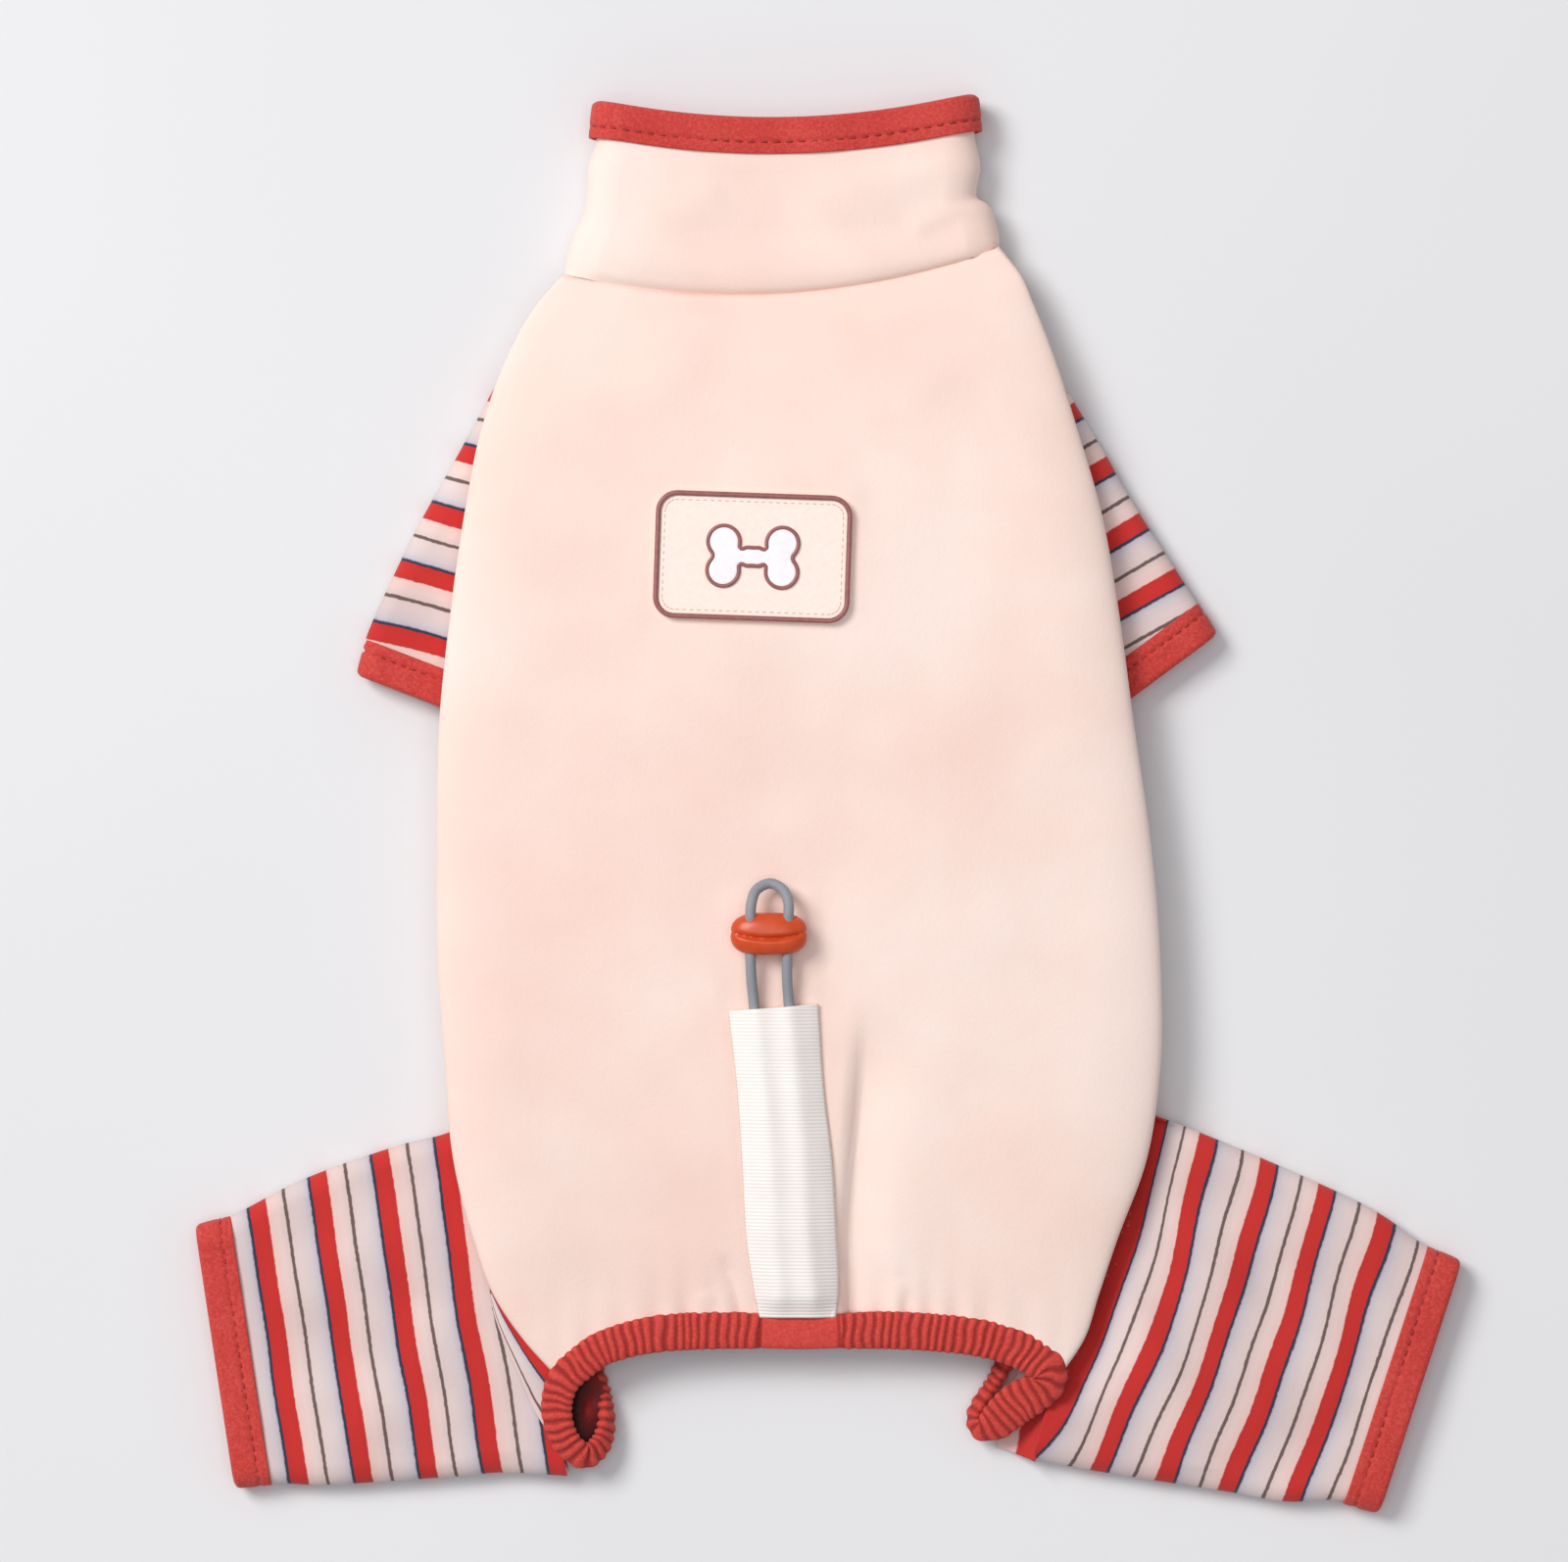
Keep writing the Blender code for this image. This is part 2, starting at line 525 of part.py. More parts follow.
def build_belly_panel():
    """The belly side: on the floor in the middle, raised at the side seams and over the sleeves.

    Each sleeve's root stands in a slit. Inside it the panel lies on the floor against the
    sleeve's lower layer, and outside it a tongue of the panel lies over the sleeve.
    """
    sleeves = [LIMBS["sleeve_left"], LIMBS["sleeve_right"]]
    legs = [LIMBS["hind_leg_left"], LIMBS["hind_leg_right"]]
    hem_y = NECK_LEFT_ALONG * BODY_LENGTH - BELLY_LENGTH - NECK_SAG + CLEARANCE
    leg_y = min(limb_root(leg)[0][1] for leg in legs)
    sleeve_front = max(limb_root(sleeve)[0][1] for sleeve in sleeves)
    slit_y = min(limb_root(sleeve)[1][1] for sleeve in sleeves) - SLIT_GAP
    cuff_y = min(min(limb_opening(sleeve)[0][1], limb_opening(sleeve)[1][1]) for sleeve in sleeves)
    floor = BODY_WALL / 2

    def root_x(limb, y):
        lead, trail = limb_root(limb)
        x = lead[0] + (y - lead[1]) / (trail[1] - lead[1]) * (trail[0] - lead[0])
        return x - limb["side"] * SEAM_GAP

    def slit_x(limb):
        return root_x(limb, limb_root(limb)[1][1])

    def raised(x, y):
        near = np.minimum(x - seam_edge(-1, y[0]), seam_edge(1, y[-1]) - x)
        side_share = 1 - smooth_step((near - BODY_WALL) / BELLY_RAMP)
        inward = np.minimum(np.abs(x - slit_x(sleeves[0])), np.abs(x - slit_x(sleeves[1])))
        outside = (x <= slit_x(sleeves[0]) + SAME_PLACE) | (x >= slit_x(sleeves[1]) - SAME_PLACE)
        over = np.where(outside, 1.0, 1 - smooth_step(inward / BELLY_RAMP))
        over = over * smooth_step((y - cuff_y + BELLY_RAMP) / BELLY_RAMP) * (y <= slit_y + SAME_PLACE)
        return floor + (SEAM_Z - floor) * np.maximum(side_share, over)

    leg_rows = [hem_y, (hem_y + leg_y) / 2, leg_y - 2 * CLEARANCE]
    side_rows = [leg_y + 3 * BODY_WALL] + list(np.linspace(leg_y + 4.5 * BODY_WALL, cuff_y - BELLY_RAMP, 6))
    side_rows += [cuff_y - BELLY_RAMP / 2, cuff_y, (cuff_y + slit_y) / 2, slit_y]
    slit_rows = [slit_y + SLIT_GAP] + list(np.linspace(slit_y, sleeve_front, 6)[1:])
    front_y = sleeve_front + 3 * BODY_WALL
    y_rows = leg_rows + side_rows + slit_rows

    def level_line(y):
        return lambda x: np.full_like(x, y)

    def front_line(share):
        return lambda x: front_y + share * (neck_line(x) - CLEARANCE - front_y)

    lines = [level_line(y) for y in y_rows]
    edges = {side: [] for side in (-1, 1)}
    outer = {side: [] for side in (-1, 1)}
    for side, leg, sleeve in ((-1, legs[0], sleeves[0]), (1, legs[1], sleeves[1])):
        edges[side] += [slit_x(sleeve) for y in leg_rows + side_rows]
        edges[side] += [root_x(sleeve, min(y, limb_root(sleeve)[0][1])) for y in slit_rows]
        outer[side] += [root_x(leg, y) for y in leg_rows]
        outer[side] += [seam_edge(side, y) for y in side_rows + slit_rows]
    for share in (0.0, 0.5, 1.0):
        line = front_line(share)
        lines.append(line)
        for side in (-1, 1):
            edge = seam_edge(side, front_y)
            # The row bends with x, so its meeting with the seam is found in a few steps
            for _ in range(6):
                edge = seam_edge(side, line(edge))
            edges[side].append(edge)

    first_side = len(leg_rows)
    first_slit = first_side + len(side_rows)
    first_front = first_slit + len(slit_rows)

    def inner_height(x, y, row):
        flat = row < first_side or first_slit <= row < first_front
        return np.full_like(x, floor) if flat else raised(x, y)

    def tongue_height(x, y, row):
        if row < first_side:
            return np.full_like(x, floor)
        return raised(x, y) if row < first_slit else np.full_like(x, SEAM_Z)

    shares = np.array([0.0, 0.012, 0.06, 0.14, 0.25, 0.42, 0.58, 0.75, 0.86, 0.94, 0.988, 1.0])
    tongue_shares = np.array([0.0, 0.06, 0.35, 0.66, 1.0])
    inner = belly_grid(lines, edges[-1], edges[1], shares, inner_height)
    points = [inner.reshape(-1, 3)]
    faces = grid_faces(*inner.shape[:2])
    tongue_rows = first_slit + 4
    for side in (-1, 1):
        shift = np.where(np.arange(tongue_rows) >= first_slit, 2 * side * SEAM_GAP, 0.0)
        inside = np.array(edges[side][:tongue_rows]) + shift
        first, last = (outer[side], inside) if side < 0 else (inside, outer[side])
        columns = tongue_shares if side < 0 else 1 - tongue_shares[::-1]
        tongue = belly_grid(lines[:tongue_rows], first, last, columns, tongue_height)
        faces += grid_faces(*tongue.shape[:2], start=sum(len(block) for block in points))
        points.append(tongue.reshape(-1, 3))
    piece = add_piece("belly_panel", np.concatenate(points), faces, "shell_jersey", BODY_WALL)
    weld_points(piece)


def weld_points(piece):
    """Join the points that two grids of one sheet share."""
    shape = bmesh.new()
    shape.from_mesh(piece.data)
    bmesh.ops.remove_doubles(shape, verts=shape.verts, dist=SAME_PLACE)
    shape.to_mesh(piece.data)
    shape.free()


def build_collar():
    """A double-layer stand-up collar as a flattened tube, with its binding."""
    centre = (NECK_LEFT + NECK_RIGHT) / 2
    size = np.array([NECK_WIDTH / 2, COLLAR_LENGTH])
    raise_by = BINDING_REACH
    top_left = centre + size * COLLAR_TOP[:2] + [0, -BINDING_REACH]
    top_right = centre + size * COLLAR_TOP[2:] + [0, -BINDING_REACH]
    cover = np.array([0, BINDING_WIDTH])
    loops = []
    for left_out, left_rise, right_out, right_rise, share in COLLAR_SECTIONS:
        left = centre + size * (left_out, left_rise)
        right = centre + size * (right_out, right_rise)
        sag = NECK_SAG + share * (COLLAR_SAG - NECK_SAG)
        loops.append(flat_loop(left, right, COLLAR_HEIGHT, share * raise_by, COLLAR_WALL, sag))
    for left, right in ((top_left - cover, top_right - cover), (top_left, top_right)):
        loops.append(flat_loop(left, right, COLLAR_HEIGHT, raise_by, COLLAR_WALL, COLLAR_SAG))
    add_tube("collar", np.array(loops), "shell_jersey", COLLAR_WALL)
    add_ring("neck_binding", binding_stations(loops[-1], (0.0, 1.0), COLLAR_WALL), "binding_jersey")


def band_profile(width, thickness):
    """Flat band with rounded long edges: eight points, across and up."""
    half = width / 2
    rise = thickness / 2
    corner = rise * 0.55
    return np.array([
        (half, -rise + corner), (half, rise - corner), (half - corner, rise), (-half + corner, rise),
        (-half, rise - corner), (-half, -rise + corner), (-half + corner, -rise), (half - corner, -rise),
    ])


def mitred_stations(path, profile):
    """Carry a profile round a closed path, its width kept level and mitred at each point."""
    ahead = np.roll(path, -1, axis=0) - path
    ahead[:, 2] = 0.0
    ahead /= np.linalg.norm(ahead, axis=1)[:, None]
    behind = np.roll(ahead, 1, axis=0)
    side = np.stack([ahead[:, 1], -ahead[:, 0], np.zeros(len(path))], axis=1)
    before = np.stack([behind[:, 1], -behind[:, 0], np.zeros(len(path))], axis=1)
    mitre = side + before
    mitre /= np.linalg.norm(mitre, axis=1)[:, None]
    stretch = 1.0 / np.sum(mitre * side, axis=1)
    across = (mitre * stretch[:, None])[:, None, :] * profile[None, :, :1]
    up = np.array([0.0, 0.0, 1.0]) * profile[None, :, 1:]
    return path[:, None, :] + across + up


def curl_path(leg, hem_y):
    """One side of the rear band: down the leg's inner edge, round its curl and back under."""
    lead, trail = limb_root(leg)
    along = (lead - trail) / np.linalg.norm(lead - trail)
    inward = turned(along, 90.0 * leg["side"])
    first = REAR_BAND_WIDTH / 2 + CLEARANCE
    radius = REAR_CURL_RADIUS
    rest = REAR_BAND_THICKNESS / 2
    start_along, start_in, start_height = CURL_CENTRE
    points = [(radius * q, first + radius * n, height * SEAM_Z) for q, n, height in CURL_ABOVE]
    for step in range(7):
        angle = math.pi * step / 6
        drop = rest + 2 * CLEARANCE - start_height * SEAM_Z
        points.append((
            radius * (start_along - math.sin(angle)),
            first + radius * (start_in - math.cos(angle)),
            start_height * SEAM_Z + drop * step / 6,
        ))
    points += [(radius * q, first + radius * n, rest) for q, n in CURL_BELOW]
    reach = (hem_y - trail[1]) / along[1]
    points += [(reach - radius * q, first + radius * n, rest) for q, n in CORNER_BELOW]
    path = [(*(trail + along * q + inward * n), z) for q, n, z in points]
    corner_x = path[-1][0] - leg["side"] * 1.5 * radius
    path.append((corner_x, hem_y - first, rest))
    return path


def build_rear_band():
    """The gathered elastic band round the rear opening, one closed ring."""
    hem_y = NECK_LEFT_ALONG * BODY_LENGTH - BELLY_LENGTH - NECK_SAG + CLEARANCE
    rim = back_section(0.0)
    left, right = rim[:, 0].min(), rim[:, 0].max()
    across = (2 * rim[:, 0] - left - right) / (right - left)
    kept = np.flatnonzero((np.abs(across) < 0.86) & (rim[:, 2] > rim[:, 2].max() - SAME_PLACE))
    plan = rim[:, :2]
    ahead = plan[kept + 1] - plan[kept]
    behind = plan[kept] - plan[kept - 1]
    normals = [np.stack([side[:, 1], -side[:, 0]], axis=1) / np.linalg.norm(side, axis=1)[:, None]
               for side in (ahead, behind)]
    mitre = normals[0] + normals[1]
    mitre /= np.linalg.norm(mitre, axis=1)[:, None]
    stretch = (REAR_BAND_WIDTH / 2 + CLEARANCE) / np.sum(mitre * normals[0], axis=1)
    hem = np.column_stack([plan[kept] + mitre * stretch[:, None], rim[kept, 2]])
    left_curl = np.array(curl_path(LIMBS["hind_leg_left"], hem_y))
    right_curl = np.array(curl_path(LIMBS["hind_leg_right"], hem_y))
    middle = np.linspace(right_curl[-1], left_curl[-1], 5)[1:-1]
    path = np.concatenate([hem, right_curl, middle, left_curl[::-1]])
    profile = band_profile(REAR_BAND_WIDTH, REAR_BAND_THICKNESS)
    add_ring("rear_binding", mitred_stations(path, profile), "binding_jersey")


def build_casing():
    """Tape tube for the drawcord, laid on the back from its mouth to the rear hem."""
    start_y = CASING_LENGTH + HEM_RISE
    height = CORD_DIAMETER + 2 * CLEARANCE + 2 * CASING_WALL
    loops = []
    for along, across, width in CASING_SECTIONS:
        y = start_y - along * CASING_LENGTH + CLEARANCE
        x = across * BODY_WIDTH
        half = width * CASING_WIDTH / 2
        floor = max(float(back_top(x + side * half, y)) for side in (-1, 0, 1))
        loops.append(flat_loop((x - half, y), (x + half, y), height, floor + CLEARANCE, CASING_WALL))
    add_tube("casing", np.array(loops), "casing_tape", CASING_WALL)


def build_drawcord():
    """Elastic cord as a tube along a smooth curve through its route."""
    route = np.array(CORD_ROUTE)
    steps = np.linalg.norm(np.diff(route, axis=0), axis=1)
    at = np.concatenate([[0.0], np.cumsum(steps)])
    where = np.linspace(0.0, at[-1], 44)
    line = np.stack([smooth_read(at, route[:, axis], where) for axis in range(3)], axis=1)
    curve = bpy.data.curves.new("drawcord", "CURVE")
    curve.dimensions = "3D"
    curve.bevel_depth = CORD_DIAMETER / 2
    curve.bevel_resolution = 2
    curve.use_fill_caps = True
    spline = curve.splines.new("POLY")
    spline.points.add(len(line) - 1)
    for point, place in zip(spline.points, line):
        point.co = (*place, 1.0)
    curve.materials.append(make_material("cord_elastic"))
    cord = bpy.data.objects.new("drawcord", curve)
    bpy.context.scene.collection.objects.link(cord)


def build_stopper():
    """A bean-shaped two-hole stopper that the cord passes through."""
    threaded = [point for point in CORD_ROUTE if abs(point[1] - STOPPER_Y) < CLEARANCE]
    centre = np.mean(threaded, axis=0)
    rows = []
    for share in np.linspace(-1.0, 1.0, 11):
        size = max((1 - abs(share) ** END_ROUNDNESS) ** 0.5, 0.18)
        angles = 2 * math.pi * np.arange(STOPPER_SPOKES) / STOPPER_SPOKES
        y = np.sign(np.cos(angles)) * np.abs(np.cos(angles)) ** SIDE_ROUNDNESS * STOPPER_LENGTH / 2 * size
        z = np.sign(np.sin(angles)) * np.abs(np.sin(angles)) ** SIDE_ROUNDNESS * STOPPER_HEIGHT / 2 * size
        x = np.full_like(y, share * STOPPER_WIDTH / 2)
        rows.append(np.stack([x, y, z], axis=1))
    rows = np.array(rows)
    faces = grid_faces(*rows.shape[:2], close_columns=True)
    last = len(rows) * STOPPER_SPOKES
    faces += [tuple(range(STOPPER_SPOKES))[::-1], tuple(range(last - STOPPER_SPOKES, last))]
    stopper = add_piece("cord_stopper", rows, faces, "stopper_plastic")
    stopper.location = centre
    for side in (-1, 1):
        bpy.ops.mesh.primitive_cylinder_add(
            vertices=16, radius=CORD_DIAMETER / 2 + 2 * CLEARANCE, depth=2 * STOPPER_LENGTH,
            location=centre + np.array([side * STOPPER_HOLE_SPACING / 2, 0, 0]),
            rotation=(math.radians(90), 0, 0))
        cutter = bpy.context.object
        cutter.name = "stopper_hole_cutter"
        cutter.hide_render = True
        cutter.display_type = "WIRE"
        cut = stopper.modifiers.new("hole", "BOOLEAN")
        cut.operation = "DIFFERENCE"
        cut.object = cutter


def rounded_outline(width, height, corner, steps=4):
    """Corner arcs of a rounded rectangle, anticlockwise."""
    points = []
    for turn, (sx, sy) in enumerate(((1, 1), (-1, 1), (-1, -1), (1, -1))):
        for step in range(steps + 1):
            angle = math.pi / 2 * (turn + step / steps)
            points.append((
                sx * (width / 2 - corner) + corner * math.cos(angle),
                sy * (height / 2 - corner) + corner * math.sin(angle),
            ))
    return np.array(points)


def bone_outline():
    """A plain bone: a bar with two round knobs at each end."""
    half = MOTIF_LENGTH / 2
    quarter = []
    centre = np.array([half - KNOB_RADIUS, 0.8 * KNOB_RADIUS])
    for angle in np.radians(np.linspace(-53.0, 205.0, 9)):
        quarter.append(centre + KNOB_RADIUS * np.array([math.cos(angle), math.sin(angle)]))
    quarter = np.array(quarter)
    quarter = quarter[quarter[:, 1] > 0]
    right = np.concatenate([quarter, [[half - 2.2 * KNOB_RADIUS, BAR_HALF_HEIGHT]]])
    upper = np.concatenate([right, right[::-1] * (-1, 1)])
    return np.concatenate([upper, upper[::-1] * (1, -1)])


def add_plate(name, outline, bottom, thickness, slot, hole=None):
    """A flat plate of a given outline on the patch's plane, with an optional inner outline."""
    count = len(outline)
    if hole is None:
        points = [place_on_patch(outline, bottom), place_on_patch(outline, bottom + thickness)]
        faces = grid_faces(2, count, close_columns=True)
        faces += [tuple(range(count))[::-1], tuple(range(count, 2 * count))]
    else:
        stations = [place_on_patch(outline, bottom), place_on_patch(outline, bottom + thickness)]
        stations += [place_on_patch(hole, bottom + thickness), place_on_patch(hole, bottom)]
        points = stations
        faces = grid_faces(4, count, close_columns=True, close_rows=True)
    return add_piece(name, np.concatenate(points), faces, slot)


def patch_plane():
    """Middle of the patch and the plane that touches the back's highest places under it."""
    centre = np.array(PATCH_PLACE) * (BODY_WIDTH, BODY_LENGTH)
    corners = np.array([(sx, sy) for sx in (-1, 0, 1) for sy in (-1, 0, 1)])
    corners = corners * (PATCH_WIDTH / 2, PATCH_HEIGHT / 2)
    places = centre + corners
    heights = np.array([float(back_top(x, y)) for x, y in places])
    slope = np.linalg.lstsq(np.column_stack([corners, np.ones(9)]), heights, rcond=None)[0]
    lift = np.max(heights - corners @ slope[:2] - slope[2])
    return centre, slope, lift


def place_on_patch(outline, level):
    centre, slope, lift = patch_plane()
    plan = np.array([turned(point, math.degrees(PATCH_TILT)) for point in outline])
    z = slope[2] + plan @ slope[:2] + lift + CLEARANCE + level
    return np.column_stack([centre + plan, z])


def build_patch():
    """A moulded rubber patch: a plate, a raised rim near its edge and a raised bone."""
    outline = rounded_outline(PATCH_WIDTH, PATCH_HEIGHT, PATCH_CORNER)
    inner = rounded_outline(
        PATCH_WIDTH - 2 * PATCH_RIM_WIDTH, PATCH_HEIGHT - 2 * PATCH_RIM_WIDTH,
        PATCH_CORNER - PATCH_RIM_WIDTH)
    add_plate("patch", outline, 0.0, PATCH_THICKNESS, "patch_rubber")
    raised = PATCH_THICKNESS + CLEARANCE
    add_plate("patch_rim", outline, raised, PATCH_RELIEF, "relief_rubber", hole=inner)
    add_plate("patch_motif", bone_outline(), raised, PATCH_RELIEF, "relief_rubber")


def centre_on_floor():
    """Put the middle of the pieces' footprint over the origin."""
    bpy.context.view_layer.update()
    graph = bpy.context.evaluated_depsgraph_get()
    low = np.full(3, np.inf)
    high = np.full(3, -np.inf)
    for piece in bpy.data.objects:
        if piece.hide_render or piece.type == "EMPTY":
            continue
        shape = piece.evaluated_get(graph).to_mesh()
        points = np.empty(3 * len(shape.vertices))
        shape.vertices.foreach_get("co", points)
        points = points.reshape(-1, 3) + np.array(piece.location)
        low = np.minimum(low, points.min(axis=0))
        high = np.maximum(high, points.max(axis=0))
    base = bpy.data.objects.new("jumpsuit", None)
    bpy.context.scene.collection.objects.link(base)
    for piece in bpy.data.objects:
        if piece is not base:
            piece.parent = base
    base.location = (-(low[0] + high[0]) / 2, -(low[1] + high[1]) / 2, -low[2])
    print("pieces from", (low * 1000).round(2), "to", (high * 1000).round(2))


clear_scene()
build_back_panel()
build_belly_panel()
build_collar()
for limb_name, limb_sizes in LIMBS.items():
    build_limb(limb_name, limb_sizes)
build_rear_band()
build_casing()
build_drawcord()
build_stopper()
build_patch()
centre_on_floor()
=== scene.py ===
# %% [markdown]
# # A dog jumpsuit, laid flat with its back up
# The garment is a torso of two jersey panels, a stand-up collar, two short sleeves and two
# long hind legs. Its edges are bound in coral jersey, an elastic drawcord runs out of a tape
# casing on the back, and a moulded rubber patch sits on the shoulders. This lesson dresses
# the fixed CAD frame: every piece below takes the place of one of its solids.

# %% Load the frame
import math

import bpy
import numpy as np
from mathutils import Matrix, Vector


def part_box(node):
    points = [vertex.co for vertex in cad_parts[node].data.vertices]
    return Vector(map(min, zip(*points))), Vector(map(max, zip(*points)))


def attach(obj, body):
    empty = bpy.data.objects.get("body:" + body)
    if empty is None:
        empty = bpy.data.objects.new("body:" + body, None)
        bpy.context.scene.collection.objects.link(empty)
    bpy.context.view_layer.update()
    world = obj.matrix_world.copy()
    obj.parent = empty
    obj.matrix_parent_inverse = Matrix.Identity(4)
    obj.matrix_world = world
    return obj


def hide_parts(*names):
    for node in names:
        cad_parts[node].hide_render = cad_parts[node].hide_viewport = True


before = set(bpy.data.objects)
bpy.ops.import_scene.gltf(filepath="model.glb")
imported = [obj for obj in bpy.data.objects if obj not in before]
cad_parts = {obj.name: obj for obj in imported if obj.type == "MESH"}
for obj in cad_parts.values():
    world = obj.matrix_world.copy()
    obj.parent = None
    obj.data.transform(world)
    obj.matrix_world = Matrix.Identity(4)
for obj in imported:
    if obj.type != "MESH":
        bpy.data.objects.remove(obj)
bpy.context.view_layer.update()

print("nodes:", sorted(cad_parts))

# %% [markdown]
# ## Where everything is
# The shapes are worked out in millimetres in the torso's own frame: y runs from the rear
# corners to the neck, and z is the height over the floor. One fixed step then puts them in
# the frame of the CAD, in metres.

# %% One frame for all pieces
TORSO_PLACE = np.array([-8.165, -144.895, 0.08])
FIT = 0.3


def in_frame(points):
    """Torso millimetres to metres in the CAD's frame."""
    return (np.asarray(points, float) + TORSO_PLACE) * 0.001


def read_row(along, values, where):
    """One smooth cubic through table rows: value and slope agree on both sides of a row."""
    along, values = np.asarray(along, float), np.asarray(values, float)
    slopes = np.gradient(values, along)
    where = np.clip(where, along[0], along[-1])
    row = np.clip(np.searchsorted(along, where) - 1, 0, len(along) - 2)
    span = along[row + 1] - along[row]
    part = (where - along[row]) / span
    rise = values[row + 1] - values[row]
    ahead, behind = slopes[row] * span, slopes[row + 1] * span
    return values[row] + part * ahead + part**2 * (3 * rise - 2 * ahead - behind) \
        + part**3 * (ahead + behind - 2 * rise)


def ease(share):
    """0 to 1 with level ends: three squares less two cubes."""
    share = np.clip(share, 0.0, 1.0)
    return share * share * (3 - 2 * share)


def ripple(x, y, wavelength, seed, waves=7):
    """Mean of a few plane sine waves with seeded headings and phases, about -1 to 1."""
    draw = np.random.default_rng(seed)
    heading = draw.uniform(0, 2 * math.pi, waves)
    phase = draw.uniform(0, 2 * math.pi, waves)
    number = 2 * math.pi / (wavelength * draw.uniform(0.7, 1.4, waves))
    total = sum(np.sin(n * (x * math.cos(h) + y * math.sin(h)) + p)
                for n, h, p in zip(number, heading, phase))
    return total / math.sqrt(waves)


print("ripple of 30 mm at the origin:", round(float(ripple(0.0, 0.0, 30.0, 1)), 3))

# %% [markdown]
# ## The camera, the light and the table
# The photograph looks straight down, 4 pixels to a millimetre, with soft light from the
# upper left and a pale grey table. A long lens high above keeps the picture free of
# perspective, and one large lamp with a pale sky gives the wide, soft shadows on the right.

# %% Camera, lamps and floor
VIEW_WIDTH = 400.0
VIEW_CENTRE = (-3.75, 150.75, 10.0)
CAMERA_HEIGHT = 2.1
scene = bpy.context.scene
scene.view_settings.view_transform = "Standard"

lens = bpy.data.cameras.new("camera")
lens.sensor_width = 36.0
lens.lens = lens.sensor_width * (CAMERA_HEIGHT - 0.01) / (VIEW_WIDTH * 0.001)
camera = bpy.data.objects.new("camera", lens)
camera.location = (*in_frame(VIEW_CENTRE)[:2], CAMERA_HEIGHT)
scene.collection.objects.link(camera)
scene.camera = camera

LAMPS = (
    # name, place in metres, width in metres, watts, colour
    ("window_lamp", (-1.62, 1.19, 2.34), 1.25, 66.5, (1.0, 0.985, 0.97)),
    ("ceiling_lamp", (0.0, 0.0, 2.4), 1.6, 13.0, (0.99, 0.99, 1.0)),
)
for name, place, width, watts, colour in LAMPS:
    lamp = bpy.data.lights.new(name, "AREA")
    lamp.size = width
    lamp.energy = watts
    lamp.color = colour
    holder = bpy.data.objects.new(name, lamp)
    place = np.array(place)
    holder.location = place
    lean = math.atan2(math.hypot(*place[:2]), place[2])
    holder.rotation_euler = (0, lean, math.atan2(place[1], place[0]))
    scene.collection.objects.link(holder)

sky = bpy.data.worlds.new("studio")
sky.use_nodes = True
backdrop = sky.node_tree.nodes["Background"]
backdrop.inputs["Color"].default_value = (0.93, 0.95, 1.0, 1.0)
backdrop.inputs["Strength"].default_value = 0.33
scene.world = sky
print("lens of", round(lens.lens, 1), "mm")

# %% [markdown]
# ## Helpers for finishes
# A colour is written as the hex value that a screen shows, and one function turns it into
# the linear light that the renderer needs. A second function adds one node to a material,
# with its settings and its links, and every finish below is a short list of such nodes. The
# others put together what most finishes share: a colour ramp, a relief and a fine grain.

# %% Colour and node helpers
def linear(code):
    """Screen hex to linear light: the sRGB curve undone, channel by channel."""
    screen = np.array([int(code[at:at + 2], 16) for at in (0, 2, 4)]) / 255
    light = np.where(screen <= 0.04045, screen / 12.92, ((screen + 0.055) / 1.055) ** 2.4)
    return (*light.tolist(), 1.0)


def node(tree, kind, inputs=(), **settings):
    """Add a node, set its settings, and set each input to a value or link it to a socket."""
    made = tree.nodes.new("ShaderNode" + kind)
    for name, value in settings.items():
        setattr(made, name, value)
    for key, value in dict(inputs).items():
        if isinstance(value, bpy.types.NodeSocket):
            tree.links.new(value, made.inputs[key])
        else:
            made.inputs[key].default_value = value
    return made


def new_finish(name, **values):
    """An empty finish: a material, its tree and its shader with the given socket values."""
    material = bpy.data.materials.new(name)
    material.use_nodes = True
    tree = material.node_tree
    shader = tree.nodes["Principled BSDF"]
    for key, value in values.items():
        shader.inputs[key.replace("_", " ")].default_value = value
    return material, tree, shader


def shade_ramp(tree, factor, stops):
    """Colours along a factor from 0 to 1, one stop for each (place, hex) pair."""
    ramp = node(tree, "ValToRGB", {0: factor})
    while len(ramp.color_ramp.elements) < len(stops):
        ramp.color_ramp.elements.new(0.5)
    for stop, (place, code) in zip(ramp.color_ramp.elements, stops):
        stop.position = place
        stop.color = linear(code)
    return ramp.outputs["Color"]


def add_relief(tree, shader, height, strength, depth):
    """Bump the surface: a height of 1 stands the depth, in metres, over a height of 0."""
    relief = node(tree, "Bump", {"Strength": strength, "Distance": depth, "Height": height})
    tree.links.new(relief.outputs["Normal"], shader.inputs["Normal"])


def noise(tree, scale, detail=2.0, **more):
    """Noise over the object's own metres, from 0 to 1."""
    place = node(tree, "TexCoord").outputs["Object"]
    return node(tree, "TexNoise", {"Vector": place, "Scale": scale, "Detail": detail, **more}).outputs["Fac"]


def grained_finish(name, scale, dark, light, detail=2.0, relief=None, **values):
    """A finish with one fine grain: two colours, and a relief of (strength, depth) if given."""
    material, tree, shader = new_finish(name, **values)
    grain = noise(tree, scale, detail)
    tree.links.new(shade_ramp(tree, grain, ((0.3, dark), (0.7, light))), shader.inputs["Base Color"])
    if relief:
        add_relief(tree, shader, grain, *relief)
    return material


